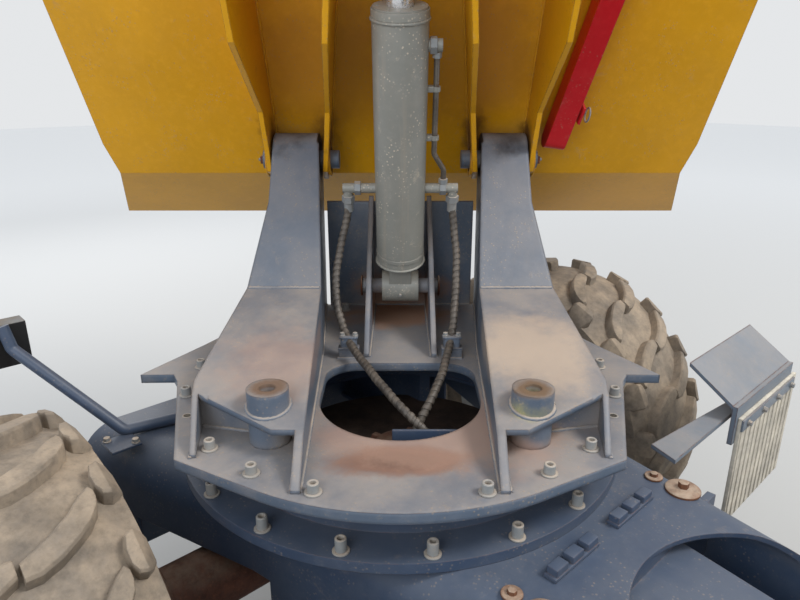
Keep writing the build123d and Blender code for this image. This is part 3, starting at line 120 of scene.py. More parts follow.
def turn_of(label, about, degrees):
    return FloatProperty(name=label, description=about, unit="ROTATION", default=radians(degrees))


def power_of(label, about, watts):
    return FloatProperty(name=label, description=about, unit="POWER", default=watts)


class DumperColours(bpy.types.PropertyGroup):
    """Colours of the dumper's finishes."""

    skip_yellow: colour_of("Skip yellow", "Paint of the skip's underside", 214, 154, 0)
    cover_yellow: colour_of("Cover yellow", "Paint of the bonnet and the cowl", 226, 170, 14)
    console_grey: colour_of("Console grey", "Paint of the console and its arms", 84, 96, 112)
    frame_grey: colour_of("Frame grey", "Paint of both frames", 56, 70, 92)
    ram_grey: colour_of("Ram grey", "Paint of the tip ram's barrel", 132, 132, 126)
    prop_red: colour_of("Prop red", "Paint of the safety prop", 190, 14, 30)
    rim_grey: colour_of("Rim grey", "Paint of the wheel rims", 150, 152, 150)
    rubber: colour_of("Rubber", "Tyre rubber under its dust", 58, 57, 57)
    dust: colour_of("Dust", "Dry dust on upward faces", 176, 160, 142)
    clay: colour_of("Clay", "Reddish clay dust on the console", 158, 128, 112)
    mud: colour_of("Mud", "Dried mud splashes", 150, 134, 116)
    rust: colour_of("Rust", "Rust on bare steel", 106, 62, 38)


class DumperSizes(bpy.types.PropertyGroup):
    """Sizes of the small parts."""

    head_radius: length_of("Bolt head", "Radius of a socket head bolt", 0.0125)
    head_height: length_of("Bolt head height", "Height of a socket head bolt", 0.021)
    washer_radius: length_of("Washer", "Radius of a washer", 0.0185)
    weld_radius: length_of("Weld", "Radius of a weld bead", 0.0055)
    weld_pitch: length_of("Weld pitch", "Distance between the ripples of a weld bead", 0.004)
    hose_diameter: length_of("Hose", "Outer diameter of the tip ram's hoses", 0.022)
    wrap_pitch: length_of("Hose wrap", "Pitch of the spiral wrap on the hoses", 0.019)
    lug_height: length_of("Lug height", "Height of the tyre's lugs", 0.034)
    lug_count: IntProperty(name="Lugs", description="Lugs on each side of a tyre", default=20, min=8, max=40)
    rope_radius: length_of("Clip wire", "Radius of the prop's wire clip", 0.003)


class DumperStage(bpy.types.PropertyGroup):
    """The camera and the studio."""

    camera_place: FloatVectorProperty(
        name="Camera", description="Where the camera stands", subtype="XYZ", unit="LENGTH",
        size=3, default=(-1.12, -0.05, 1.85),
    )
    heading: turn_of("Heading", "Camera's turn to the right", 43)
    pitch: turn_of("Pitch", "Camera's tilt below level", 18.8)
    focal: FloatProperty(
        name="Focal length", description="Millimetres on a 36 mm sensor", default=29.07, min=1
    )
    floor_half: length_of("Floor", "Half the floor's width", 30)
    key_power: power_of("Key lamp", "Watts of the key lamp", 460)
    fill_power: power_of("Fill lamp", "Watts of the fill lamp", 160)
    sky: FloatProperty(name="World light", description="Strength of the world's light", default=1.1, min=0)


def turns(count, shift=0.0, closed=False):
    """Even angles round a circle, and the first one again at the end where closed."""
    return [2 * pi * (step + shift) / count for step in range(count + closed)]


def skin(part, rings, closed=False):
    """Faces between neighbouring rings of vertices, where a ring may be a tip, and over open ends."""
    pairs = list(zip(rings, rings[1:])) + ([(rings[-1], rings[0])] if closed else [])
    for lower, upper in pairs:
        count = max(len(lower), len(upper))
        for step in range(count):
            after = (step + 1) % count
            if len(lower) == 1:
                part.faces.new((lower[0], upper[after], upper[step]))
            elif len(upper) == 1:
                part.faces.new((lower[step], lower[after], upper[0]))
            else:
                part.faces.new((lower[step], lower[after], upper[after], upper[step]))
    if not closed:
        for ring in (rings[0], rings[-1]):
            if len(ring) > 1:
                part.faces.new(ring)


class Shape:
    """A mesh in the making, drawn in one of the machine's frames."""

    def __init__(self, place=CHASSIS):
        self.mesh = bmesh.new()
        self.place = place

    def take(self, part, matrix=CHASSIS, bevel=0.0):
        """Bevels a closed form's sharp edges, turns its faces outwards and adds it."""
        if bevel:
            edges = [
                edge for edge in part.edges
                if edge.is_manifold and edge.calc_face_angle(0) > BEVEL_ANGLE
            ]
            bmesh.ops.bevel(
                part, geom=edges, offset=bevel, segments=2, profile=0.6, affect="EDGES", clamp_overlap=True
            )
        bmesh.ops.recalc_face_normals(part, faces=part.faces)
        part.transform(self.place @ matrix)
        scratch = bpy.data.meshes.new("scratch")
        part.to_mesh(scratch)
        part.free()
        self.mesh.from_mesh(scratch)
        bpy.data.meshes.remove(scratch)

    def block(self, x, y, z, bevel=0.0015):
        """A box between limits along X, Y and Z, each in either order."""
        part = bmesh.new()
        bmesh.ops.create_cube(part, size=1)
        size = [abs(high - low) for low, high in (x, y, z)]
        bmesh.ops.scale(part, vec=size, verts=part.verts)
        middle = Matrix.Translation([(low + high) / 2 for low, high in (x, y, z)])
        self.take(part, middle, min(bevel, 0.45 * min(size)))

    def prism(self, axis, outline, low, high, bevel=0.0015):
        """An outline pulled along axis "x", "y" or "z" from low to high."""
        order = {"x": (2, 0, 1), "y": (0, 2, 1), "z": (0, 1, 2)}[axis]
        part = bmesh.new()
        rings = []
        for depth in (low, high):
            spots = [(point[0], point[1], depth) for point in outline]
            rings.append([part.verts.new([spot[place] for place in order]) for spot in spots])
        skin(part, rings)
        self.take(part, bevel=bevel)

    def lathe(self, start, end, profile, sides=32):
        """A closed turned form: profile is (distance from start towards end, radius)."""
        start, end = Vector(start), Vector(end)
        turn = (end - start).to_track_quat("Z", "Y").to_matrix().to_4x4()
        part = bmesh.new()
        rings = []
        closed = profile[0] == profile[-1]
        for along, radius in profile[:-1] if closed else profile:
            if radius < 1e-6:
                rings.append([part.verts.new((0, 0, along))])
            else:
                corners = turns(sides)
                rings.append([part.verts.new((radius * cos(a), radius * sin(a), along)) for a in corners])
        skin(part, rings, closed)
        self.take(part, Matrix.Translation(start) @ turn)

    def rod(self, start, end, radius, sides=24, chamfer=0.0012):
        """A round bar with a small chamfer at both ends."""
        length = (Vector(end) - Vector(start)).length
        edge = min(chamfer, 0.4 * length, 0.4 * radius)
        profile = ((0, radius - edge), (edge, radius), (length - edge, radius), (length, radius - edge))
        self.lathe(start, end, profile, sides)

    def ring(self, start, end, radius, bore, sides=32, chamfer=0.0012):
        """A round bar with a round bore right through."""
        length = (Vector(end) - Vector(start)).length
        edge = min(chamfer, 0.3 * length, 0.3 * (radius - bore))
        profile = (
            (0, bore + edge), (0, radius - edge), (edge, radius), (length - edge, radius),
            (length, radius - edge), (length, bore + edge), (length - edge, bore), (edge, bore),
            (0, bore + edge),
        )
        self.lathe(start, end, profile, sides)

    def hexagon(self, start, end, across):
        """A hexagon bar, such as a nut or a union, by its size across the flats."""
        length = (Vector(end) - Vector(start)).length
        radius = across / sqrt(3)
        edge = 0.12 * radius
        slant = 0.4 * edge
        profile = ((0, radius - edge), (slant, radius), (length - slant, radius), (length, radius - edge))
        self.lathe(start, end, profile, 6)

    def tube(self, points, radius, sides=12, closed=False):
        """A swept round tube through points."""
        part = bmesh.new()
        rings = []
        for spot, side, up in carried_frames([Vector(point) for point in points], closed):
            spokes = [cos(turn) * side + sin(turn) * up for turn in turns(sides)]
            rings.append([part.verts.new(spot + radius * spoke) for spoke in spokes])
        skin(part, rings, closed)
        self.take(part)

    def to_mesh(self, name, sharp=radians(35)):
        data = bpy.data.meshes.new(name)
        self.mesh.to_mesh(data)
        self.mesh.free()
        smooth_by_angle(data, sharp)
        return data

    def show(self, name, body, look_of, slot=None):
        """Puts the finished form in the scene as a piece."""
        return show(name, self.to_mesh(name), body, look_of)


def smooth_by_angle(data, sharp=radians(35)):
    """Smooth shading, with the sharp edges kept."""
    data.polygons.foreach_set("use_smooth", [True] * len(data.polygons))
    data.set_sharp_from_angle(angle=sharp)


def carried_frames(points, closed=False):
    """Each point of a path with two directions across it, carried along without twist."""
    count = len(points)
    frames = []
    side = None
    for step, spot in enumerate(points):
        before = points[step - 1] if step or closed else spot
        after = points[(step + 1) % count] if step < count - 1 or closed else spot
        along = (after - before).normalized()
        if side is None:
            side = along.orthogonal().normalized()
        side = (side - along * side.dot(along)).normalized()
        frames.append((spot, side, along.cross(side)))
    return frames


def show(name, data, body, look_of):
    """Puts a finished mesh in the scene: it rides on a body and takes a finish."""
    piece = bpy.data.objects.new(name, data)
    bpy.context.scene.collection.objects.link(piece)
    data.materials.clear()
    data.materials.append(finishes()[look_of])
    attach(piece, body)
    return piece


class Nodes:
    """Short calls for the nodes of one tree."""

    def __init__(self, tree):
        self.nodes = tree.nodes
        self.links = tree.links
        self.nodes.clear()

    def node(self, kind, sockets=(), **settings):
        """A node with its settings, and numbers or links for its inputs."""
        node = self.nodes.new(kind)
        for name, value in settings.items():
            setattr(node, name, value)
        for place, value in dict(sockets).items():
            self.feed(node.inputs[place], value)
        return node

    def feed(self, socket, value):
        if isinstance(value, bpy.types.NodeSocket):
            self.links.new(value, socket)
        elif value is not None:
            socket.default_value = (*value, 1) if socket.type == "RGBA" and len(value) == 3 else value

    def maths(self, operation, first, second):
        return self.node("ShaderNodeMath", {0: first, 1: second}, operation=operation).outputs[0]

    def both(self, first, second):
        return self.maths("MULTIPLY", first, second)

    def either(self, first, second):
        return self.maths("MAXIMUM", first, second)


class Finish(Nodes):
    """A material in the making."""

    def __init__(self, name):
        self.material = bpy.data.materials.new(name)
        self.material.use_nodes = True
        super().__init__(self.material.node_tree)
        self.shader = self.node("ShaderNodeBsdfPrincipled")
        self.node("ShaderNodeOutputMaterial", {0: self.shader.outputs[0]})
        self.coordinates = self.node("ShaderNodeTexCoord")
        self.here = self.coordinates.outputs["Object"]

    def local(self, place, size):
        """Object coordinates as seen from a placement, in units of size."""
        sockets = {0: self.here, 1: place.to_translation(), 2: place.to_euler("XYZ"), 3: size}
        return self.node("ShaderNodeMapping", sockets, vector_type="TEXTURE").outputs[0]

    def noise(self, scale, detail=4.0, roughness=0.6, distortion=0.0, where=None):
        sockets = {"Vector": where or self.here, "Scale": scale, "Detail": detail, "Roughness": roughness}
        return self.node("ShaderNodeTexNoise", {**sockets, "Distortion": distortion}).outputs[0]

    def cells(self, scale):
        return self.node("ShaderNodeTexVoronoi", {"Vector": self.here, "Scale": scale}).outputs[0]

    def fade(self, value, low, high, start=0.0, end=1.0):
        """A smooth step of value between low and high."""
        sockets = {0: value, 1: low, 2: high, 3: start, 4: end}
        return self.node("ShaderNodeMapRange", sockets, interpolation_type="SMOOTHSTEP").outputs[0]

    def mix(self, share, first, second):
        return self.node("ShaderNodeMix", {0: share, 6: first, 7: second}, data_type="RGBA").outputs[2]

    def upward(self):
        """How far the surface faces up, in the piece's own space."""
        split = self.node("ShaderNodeSeparateXYZ", {0: self.coordinates.outputs["Normal"]})
        return self.fade(split.outputs[2], 0.3, 0.95)

    def softened(self, width):
        """The surface's direction, rounded within width of its edges."""
        return self.node("ShaderNodeBevel", {0: width}, samples=4).outputs[0]

    def edges(self, width):
        """Where the surface is within width of a sharp edge."""
        rounded = self.softened(width)
        plain = self.node("ShaderNodeNewGeometry").outputs["Normal"]
        match = self.node("ShaderNodeVectorMath", {0: rounded, 1: plain}, operation="DOT_PRODUCT")
        return self.fade(self.maths("SUBTRACT", 1.0, match.outputs["Value"]), 0.06, 0.35)

    def corners(self, distance):
        """Where other surfaces close in on this one."""
        open_share = self.node("ShaderNodeAmbientOcclusion", {1: distance}, samples=6).outputs["AO"]
        return self.fade(self.maths("SUBTRACT", 1.0, open_share), 0.25, 0.85)

    def distance(self, where):
        """How far a spot is from the middle of its own space."""
        return self.node("ShaderNodeVectorMath", {0: where}, operation="LENGTH").outputs["Value"]

    def stain(self, place, size):
        """A ragged patch about a placement, fading out at size along its axes."""
        ragged = self.both(self.maths("SUBTRACT", self.noise(9, 5, 0.65), 0.5), 1.1)
        near = self.distance(self.local(place, size))
        return self.fade(self.maths("ADD", near, ragged), 0.45, 1.0, 1.0, 0.0)

    def finish(self, colour, roughness=0.5, height=None, bump=0.3, distance=0.002, soft=None, metallic=0.0):
        """Joins colour, roughness, bump and softened edges to the shader."""
        normal = self.softened(soft) if soft else None
        if height is not None:
            sockets = {"Strength": bump, "Distance": distance, "Height": height, "Normal": normal}
            normal = self.node("ShaderNodeBump", sockets).outputs[0]
        inputs = {"Base Color": colour, "Roughness": roughness, "Metallic": metallic, "Normal": normal}
        for name, value in inputs.items():
            self.feed(self.shader.inputs[name], value)
        return self.material


def weathered(name, paint, dust, mud, rust, dusty=0.6, splash=0.35, rusty=0.25, chip=0.004, soft=0.004,
              gloss=0.42, streak=None, stains=(CHASSIS, ()), grit=1.0, crevice=0.5):
    """Paint that has faded, gathered dust, caught mud and chipped to rust on its edges.

    The stain patches are a frame and its rows of (middle, size, colour, strength), real stains and also
    painted shade and painted sunlight; streak is a placement whose Z the streaks run along."""
    f = Finish(name)
    broad = f.noise(2.3, 5, 0.6)
    fine = f.noise(38, 6, 0.7)
    tone = f.mix(f.fade(broad, 0.3, 0.7, 0.0, 0.45), paint, [0.72 * part for part in paint])
    tone = f.mix(f.fade(fine, 0.42, 0.8, 0.0, 0.3), tone, [min(1, 1.18 * part + 0.02) for part in paint])
    if streak is not None:
        along = f.local(streak, (0.02, 0.02, 0.5))
        runs = f.both(f.fade(f.noise(1.0, 5, 0.6, where=along), 0.52, 0.72), 0.4)
        tone = f.mix(runs, tone, [0.6 * part for part in mud])
    film = f.both(f.upward(), f.fade(f.noise(5.5, 6, 0.66), 0.28, 0.66, 0.35, 1.0))
    film = f.either(f.both(film, dusty), f.both(f.fade(f.noise(7.5, 7, 0.7), 0.42, 0.78), 0.55 * dusty))
    if crevice:
        film = f.either(film, f.both(f.corners(0.07), crevice))
    tone = f.mix(film, tone, dust)
    drops = f.fade(f.cells(95), 0.16, 0.30, 1.0, 0.0)
    specks = f.both(drops, f.fade(f.noise(11, 4, 0.7), 0.45, 0.62))
    patches = f.fade(f.noise(19, 8, 0.75, 0.4), 0.58, 0.70)
    soil = f.both(f.either(specks, f.both(patches, 0.6)), splash)
    tone = f.mix(soil, tone, mud)
    bare = f.both(f.edges(chip), f.fade(f.noise(26, 5, 0.7), 0.36, 0.56))
    pits = f.both(f.fade(f.noise(31, 8, 0.8), 0.64, 0.72), f.fade(f.noise(4, 4, 0.6), 0.45, 0.65))
    corroded = f.either(f.both(bare, min(1.0, 2.4 * rusty)), f.both(pits, rusty))
    rust_tone = f.mix(f.fade(f.noise(60, 5, 0.7), 0.3, 0.7), rust, [0.45 * part for part in rust])
    tone = f.mix(corroded, tone, rust_tone)
    rough = f.fade(f.either(film, soil), 0.0, 0.8, gloss, 0.88)
    place, rows = stains
    for middle, size, shade, strength in rows:
        patch = f.both(f.stain(place @ Matrix.Translation(middle), size), strength)
        tone = f.mix(patch, tone, shade)
        rough = f.either(rough, f.both(patch, 0.8))
    height = f.maths("ADD", f.both(fine, 0.35 * grit), f.both(soil, 1.1 * grit))
    return f.finish(tone, rough, height, 0.35, 0.0016, soft)


def bare_metal(name, shade, rust, rusty=0.3, gloss=0.35, scratch=1.0):
    """Oxidised steel with fine scratches."""
    f = Finish(name)
    grain = f.noise(140, 3, 0.6)
    cloud = f.noise(9, 6, 0.7)
    tone = f.mix(f.fade(cloud, 0.3, 0.7), shade, [0.55 * part for part in shade])
    pits = f.fade(f.noise(34, 8, 0.78), 0.66 - 0.28 * rusty, 0.76 - 0.2 * rusty)
    tone = f.mix(f.both(pits, min(1.0, 0.3 + rusty)), tone, rust)
    rough = f.fade(f.either(grain, pits), 0.3, 0.9, gloss, 0.8)
    height = f.maths("ADD", f.both(grain, 0.3), pits)
    return f.finish(tone, rough, height, 0.3 * scratch, 0.001, 0.002, metallic=0.75)


def rusty_metal(name, rust, dusty, soft=0.003):
    """Steel that has rusted all over, with dust on its upward faces."""
    f = Finish(name)
    cloud = f.noise(16, 7, 0.7)
    fine = f.noise(90, 6, 0.75)
    tone = f.mix(f.fade(cloud, 0.3, 0.7), rust, [0.42 * part for part in rust])
    tone = f.mix(f.fade(fine, 0.5, 0.75, 0.0, 0.7), tone, [min(1, 1.9 * part) for part in rust])
    tone = f.mix(f.both(f.upward(), f.fade(f.noise(12, 5, 0.7), 0.35, 0.7, 0.15, 0.75)), tone, dusty)
    return f.finish(tone, f.fade(fine, 0.3, 0.8, 0.7, 0.95), f.maths("ADD", cloud, fine), 0.5, 0.0016, soft)


def rubber_finish(name, shade, dust, dusty=0.6, scale=1.0, gloss=0.6):
    """Rubber with dust in its low places and grey scuffs on its high ones."""
    f = Finish(name)
    cloud = f.noise(6 * scale, 6, 0.7)
    fine = f.noise(55 * scale, 6, 0.7)
    tone = f.mix(f.fade(fine, 0.35, 0.75), shade, [min(1, 1.7 * part + 0.01) for part in shade])
    film = f.either(f.both(f.fade(cloud, 0.25, 0.7, 0.3, 1.0), dusty), f.both(f.corners(0.05), 0.9 * dusty))
    film = f.both(film, f.fade(fine, 0.2, 0.55, 0.65, 1.0))
    dust_tone = f.mix(f.fade(f.noise(14, 5, 0.6), 0.35, 0.7), dust, [0.68 * part for part in dust])
    tone = f.mix(film, tone, dust_tone)
    height = f.maths("ADD", fine, f.both(cloud, 0.6))
    return f.finish(tone, f.fade(film, 0.0, 0.8, gloss, 0.93), height, 0.4, 0.0015, 0.004)


def plain_plastic(name, shade, gloss=0.5, grain=220.0, bump=0.25):
    """Moulded plastic with a fine grain and a little dust; the same finish, near-black, paints the shade
    inside empty bolt holes.
    """
    f = Finish(name)
    fine = f.noise(grain, 3, 0.6)
    film = f.both(f.upward(), f.fade(f.noise(9, 6, 0.7), 0.35, 0.75, 0.0, 0.5))
    tone = f.mix(film, shade, srgb(150, 138, 122))
    return f.finish(tone, f.fade(film, 0.0, 0.5, gloss, 0.8), fine, bump, 0.0006, 0.002)


def lens_finish(name, shade):
    """A ribbed lens, dusty at its rim."""
    f = Finish(name)
    film = f.fade(f.noise(30, 5, 0.7), 0.5, 0.8, 0.0, 0.45)
    tone = f.mix(film, shade, srgb(150, 138, 122))
    f.shader.inputs["Coat Weight"].default_value = 0.6
    f.shader.inputs["Specular IOR Level"].default_value = 0.7
    return f.finish(tone, f.fade(film, 0.0, 0.5, 0.12, 0.6), f.cells(260), 0.2, 0.001)


# Filled once, by finishes()
made = {}


def finishes():
    """Every material by its plain name, made once."""
    if made:
        return made
    c = bpy.context.scene.dumper_colours
    dust, clay, mud, rust = tuple(c.dust), tuple(c.clay), tuple(c.mud), tuple(c.rust)
    dark_rust = srgb(64, 36, 24)
    oil = srgb(34, 26, 22)

    def coat(name, paint, **settings):
        return weathered(name, tuple(paint), **{"dust": dust, "mud": mud, "rust": rust, **settings})

    # Middle of each patch in its frame, its reach along the axes, its colour and its strength: stains, with
    # painted shade on the skip and painted sunlight on the console among them
    plate_stains = (
        ((0.0, -0.43, 1.07), (0.2, 0.075, 0.05), srgb(92, 60, 48), 0.92),
        ((0.0, -0.43, 1.07), (0.1, 0.04, 0.05), srgb(62, 40, 34), 0.75),
        ((0.08, -0.3, 1.07), (0.4, 0.24, 0.04), clay, 0.6),
        ((-0.3, -0.1, 1.17), (0.2, 0.3, 0.07), clay, 0.4),
        # Pale tan patch on the right arm's top plate: dust, and painted sunlight on that arm
        ((0.34, -0.1, 1.19), (0.2, 0.3, 0.07), srgb(176, 156, 136), 0.6),
        ((-0.297, -0.34, 1.2), (0.06, 0.06, 0.012), srgb(104, 84, 70), 1.0),
        ((0.297, -0.34, 1.2), (0.06, 0.06, 0.012), srgb(104, 84, 66), 1.0),
        ((0.297, -0.34, 1.15), (0.06, 0.06, 0.055), srgb(166, 158, 96), 0.8),
        ((-0.34, 0.56, 1.58), (0.12, 0.12, 0.14), oil, 0.85),
        ((0.34, 0.56, 1.58), (0.12, 0.12, 0.14), oil, 0.85),
        ((0.0, 0.5, 1.12), (0.3, 0.2, 0.12), srgb(150, 112, 86), 0.8),
    )
    skip_stains = [
        ((hand * place, along, 0.03), (0.07, 0.16, 0.1), dark_rust, 0.85)
        for hand in HANDS for place, along in ((0.25, -0.04), (0.44, -0.02))
    ]
    skip_stains += [
        # A darker orange-brown band along the skip's front lip
        ((0, 0.5, 0.24), (1.3, 0.075, 0.1), srgb(116, 82, 26), 0.75),
        # Duller yellow patches in the middle of the skip's underside: painted shade there
        ((0.2, -0.3, 0.09), (0.34, 0.3, 0.05), srgb(150, 100, 22), 0.4),
        ((-0.2, -0.25, 0.09), (0.3, 0.3, 0.05), srgb(160, 106, 22), 0.4),
    ]
    made["skip"] = coat(
        "skip_paint", c.skip_yellow, dust=mud, dusty=0.06, splash=0.4, rusty=0.5, chip=0.006, gloss=0.4,
        stains=(SKIP, skip_stains), crevice=0.2,
    )
    made["cover"] = coat(
        "cover_paint", c.cover_yellow, dusty=0.3, splash=0.2, rusty=0.2, gloss=0.3, crevice=0.25
    )
    made["console"] = coat(
        "console_paint", c.console_grey, dusty=0.44, splash=0.5, rusty=0.3, soft=0.012,
        stains=(CONSOLE, plate_stains), grit=1.3, crevice=0.45,
    )
    made["frame"] = coat(
        "frame_paint", c.frame_grey, dust=srgb(112, 114, 118), dusty=0.3, splash=0.3, crevice=0.35
    )
    made["ram"] = coat(
        "ram_paint", c.ram_grey, mud=srgb(190, 178, 160), dusty=0.2, splash=0.85, rusty=0.2, streak=RAM,
        gloss=0.38, crevice=0.2,
    )
    made["guard"] = coat("guard_paint", srgb(96, 108, 122), dusty=0.3, rusty=0.7, chip=0.008, crevice=0.4)
    made["prop"] = coat(
        "prop_paint", c.prop_red, dust=srgb(176, 110, 100), dusty=0.2, splash=0.3, rusty=0.3, gloss=0.36,
        crevice=0.1,
    )
    made["rim"] = coat("rim_paint", c.rim_grey, dusty=0.5, splash=0.6, rusty=0.4, crevice=0.6)
    made["bolt"] = coat(
        "bolt_finish", srgb(126, 130, 132), dusty=0.7, splash=0.4, rusty=0.5, chip=0.002, soft=0.0015,
        crevice=0.6,
    )
    made["weld"] = coat(
        "weld_finish", c.console_grey, dusty=0.8, splash=0.4, rusty=0.4, chip=0.002, soft=None
    )
    made["pan"] = rusty_metal("oily_pan", srgb(52, 42, 38), srgb(84, 68, 58))
    made["rust"] = rusty_metal("rusty_steel", rust, dust)
    made["nut_rust"] = rusty_metal("rusty_nut", srgb(112, 74, 52), dust)
    made["casting"] = rusty_metal("axle_casting", srgb(104, 66, 52), srgb(132, 112, 96), soft=0.01)
    made["steel"] = bare_metal("bare_steel", srgb(128, 122, 114), rust, 0.45)
    made["chrome"] = bare_metal("rod_chrome", srgb(226, 226, 228), rust, 0.0, gloss=0.08, scratch=0.2)
    made["tyre"] = rubber_finish("tread_rubber", tuple(c.rubber), srgb(178, 160, 138), 0.72)
    made["hose"] = rubber_finish("hose_rubber", srgb(30, 29, 30), dust, 0.22, scale=3.0, gloss=0.45)
    made["wrap"] = rubber_finish("hose_wrap", srgb(38, 37, 38), dust, 0.26, scale=3.0, gloss=0.4)
    made["flap"] = rubber_finish("flap_rubber", srgb(142, 138, 130), srgb(214, 206, 190), 0.9)
    made["black"] = plain_plastic("black_plastic", srgb(30, 30, 32))
    made["grip"] = plain_plastic("grip_rubber", srgb(24, 24, 25), 0.7, 160, 0.5)
    # Near-black finish for discs in the empty bolt holes: painted shade inside the holes
    made["hole_shade"] = plain_plastic("dark_cavity", srgb(16, 16, 18), 0.9)
    made["glass"] = lens_finish("lamp_glass", srgb(206, 208, 206))
    made["red_lens"] = lens_finish("red_lens", srgb(170, 16, 18))
    made["amber_lens"] = lens_finish("amber_lens", srgb(236, 120, 14))
    return made


# Which finish each CAD node wears
NODE_FINISHES = {
    "skip": ("skip_shell", "skip_rim", "skip_brackets"),
    "cover": ("bonnet", "cowl"),
    "console": ("console_plate", "slew_ring_upper", "console_arms", "console_ribs", "hose_clamps"),
    "frame": ("front_frame", "slew_ring_lower", "lamp_stalks", "rear_frame", "platform",
              "steps", "tanks", "rear_mudguards", "rops_posts", "rops_hoop", "counterweight"),
    "ram": ("ram_barrel", "steering_ram_barrel"),
    "guard": ("front_mudguards",),
    "prop": ("skip_prop",),
    "rim": ["rim_" + name for name in WHEEL_HANDS],
    "casting": ("front_axle", "rear_axle"),
    "rust": ("engine_block", "exhaust"),
    "steel": ("ram_pipe",),
    "chrome": ("ram_rod", "steering_ram_rod"),
    "flap": ("mudflaps",),
    "black": ("seat", "steering_wheel", "steering_column", "front_lamps", "rear_lamps"),
    "hose": ("hose_left", "hose_right"),
    "tyre": ["tyre_" + name for name in WHEEL_HANDS],
    "amber_lens": ("beacon",),
}


class Graph(Nodes):
    """A Geometry Nodes tree in the making, from its named inputs to one finished geometry."""

    def __init__(self, name, **inputs):
        self.tree = bpy.data.node_groups.new(name, "GeometryNodeTree")
        super().__init__(self.tree)
        sockets = {"Geometry": "Geometry", **inputs, "Seed": "Int", "Finish": "Material"}
        for label, kind in sockets.items():
            self.tree.interface.new_socket(name=label, in_out="INPUT", socket_type="NodeSocket" + kind)
        self.tree.interface.new_socket(name="Geometry", in_out="OUTPUT", socket_type="NodeSocketGeometry")
        self.given = self.node("NodeGroupInput").outputs

    def random(self, low, high):
        """A random number for every point, from the tree's seed."""
        sockets = {2: low, 3: high, "Seed": self.given["Seed"]}
        return self.node("FunctionNodeRandomValue", sockets, data_type="FLOAT").outputs[1]

    def end(self, geometry):
        """Turns instances into plain geometry and gives it the finish."""
        plain = self.node("GeometryNodeRealizeInstances", {0: geometry}).outputs[0]
        sockets = {"Geometry": plain, "Material": self.given["Finish"]}
        self.node("NodeGroupOutput", {0: self.node("GeometryNodeSetMaterial", sockets).outputs[0]})
        return self.tree


def repeat_tree():
    """A node tree that sets a piece on every point, turned by the point's own turn, with a little play."""
    g = Graph("Repeat on points", Piece="Object", Play="Float")
    play = g.random(g.both(g.given["Play"], -1), g.given["Play"])
    turn = g.node("GeometryNodeInputNamedAttribute", {"Name": "turn"}, data_type="FLOAT_VECTOR")
    shift = g.node("ShaderNodeCombineXYZ", {2: play})
    own, extra = [
        g.node("FunctionNodeEulerToRotation", {0: angles}).outputs[0]
        for angles in (turn.outputs["Attribute"], shift.outputs[0])
    ]
    rotated = g.node("FunctionNodeRotateRotation", {0: own, 1: extra}, rotation_space="LOCAL").outputs[0]
    piece = g.node("GeometryNodeObjectInfo", {"Object": g.given["Piece"]}).outputs["Geometry"]
    sockets = {"Points": g.given["Geometry"], "Instance": piece, "Rotation": rotated}
    return g.end(g.node("GeometryNodeInstanceOnPoints", sockets).outputs[0])


def bead_tree():
    """A node tree that runs a rippled weld bead along chains of edges."""
    g = Graph("Weld bead", Radius="Float", Pitch="Float")
    size = g.both(g.random(0.78, 1.16), g.given["Radius"])
    chains = g.node("GeometryNodeMeshToCurve", {"Mesh": g.given["Geometry"]}).outputs[0]
    sockets = {"Curve": chains, "Length": g.given["Pitch"]}
    even = g.node("GeometryNodeResampleCurve", sockets, mode="LENGTH").outputs[0]
    wide = g.node("GeometryNodeSetCurveRadius", {"Curve": even, "Radius": size}).outputs[0]
    profile = g.node("GeometryNodeCurvePrimitiveCircle", {"Resolution": 7, "Radius": 1.0}).outputs[0]
    sockets = {"Curve": wide, "Profile Curve": profile, "Fill Caps": True}
    bead = g.node("GeometryNodeCurveToMesh", sockets)
    if "Scale" in bead.inputs:
        g.feed(bead.inputs["Scale"], size)
    return g.end(bead.outputs[0])


# Each node tree, by the function that makes it
trees = {}


def evaluate(points, make_tree, values, name):
    """Runs a node tree, made once, on a mesh and returns the plain mesh that it makes."""
    if make_tree not in trees:
        trees[make_tree] = make_tree()
    scratch = bpy.data.objects.new("scratch", points)
    bpy.context.scene.collection.objects.link(scratch)
    modifier = scratch.modifiers.new("nodes", "NODES")
    modifier.node_group = trees[make_tree]
    for socket in modifier.node_group.interface.items_tree:
        if socket.in_out == "INPUT" and socket.name in values:
            modifier[socket.identifier] = values[socket.name]
    bpy.context.view_layer.update()
    evaluated = scratch.evaluated_get(bpy.context.evaluated_depsgraph_get())
    data = bpy.data.meshes.new_from_object(evaluated)
    data.name = name
    scratch.modifiers.remove(modifier)
    bpy.data.objects.remove(scratch)
    bpy.data.meshes.remove(points)
    if not data.polygons:
        raise RuntimeError(name + " came out empty")
    return data


def repeat(name, piece, spots, body, look_of, play=0.0, seed=1, sharp=radians(35)):
    """A piece's mesh at every spot, as one object: spots are placements."""
    holder = bpy.data.objects.new("pattern", piece)
    bpy.context.scene.collection.objects.link(holder)
    points = bpy.data.meshes.new("points")
    points.from_pydata([spot.to_translation() for spot in spots], [], [])
    own_turns = points.attributes.new("turn", "FLOAT_VECTOR", "POINT")
    for place, spot in enumerate(spots):
        own_turns.data[place].vector = spot.to_euler("XYZ")
    values = {"Piece": holder, "Play": play, "Seed": seed, "Finish": finishes()[look_of]}
    data = evaluate(points, repeat_tree, values, name)
    bpy.data.objects.remove(holder)
    smooth_by_angle(data, sharp)
    return show(name, data, body, look_of)


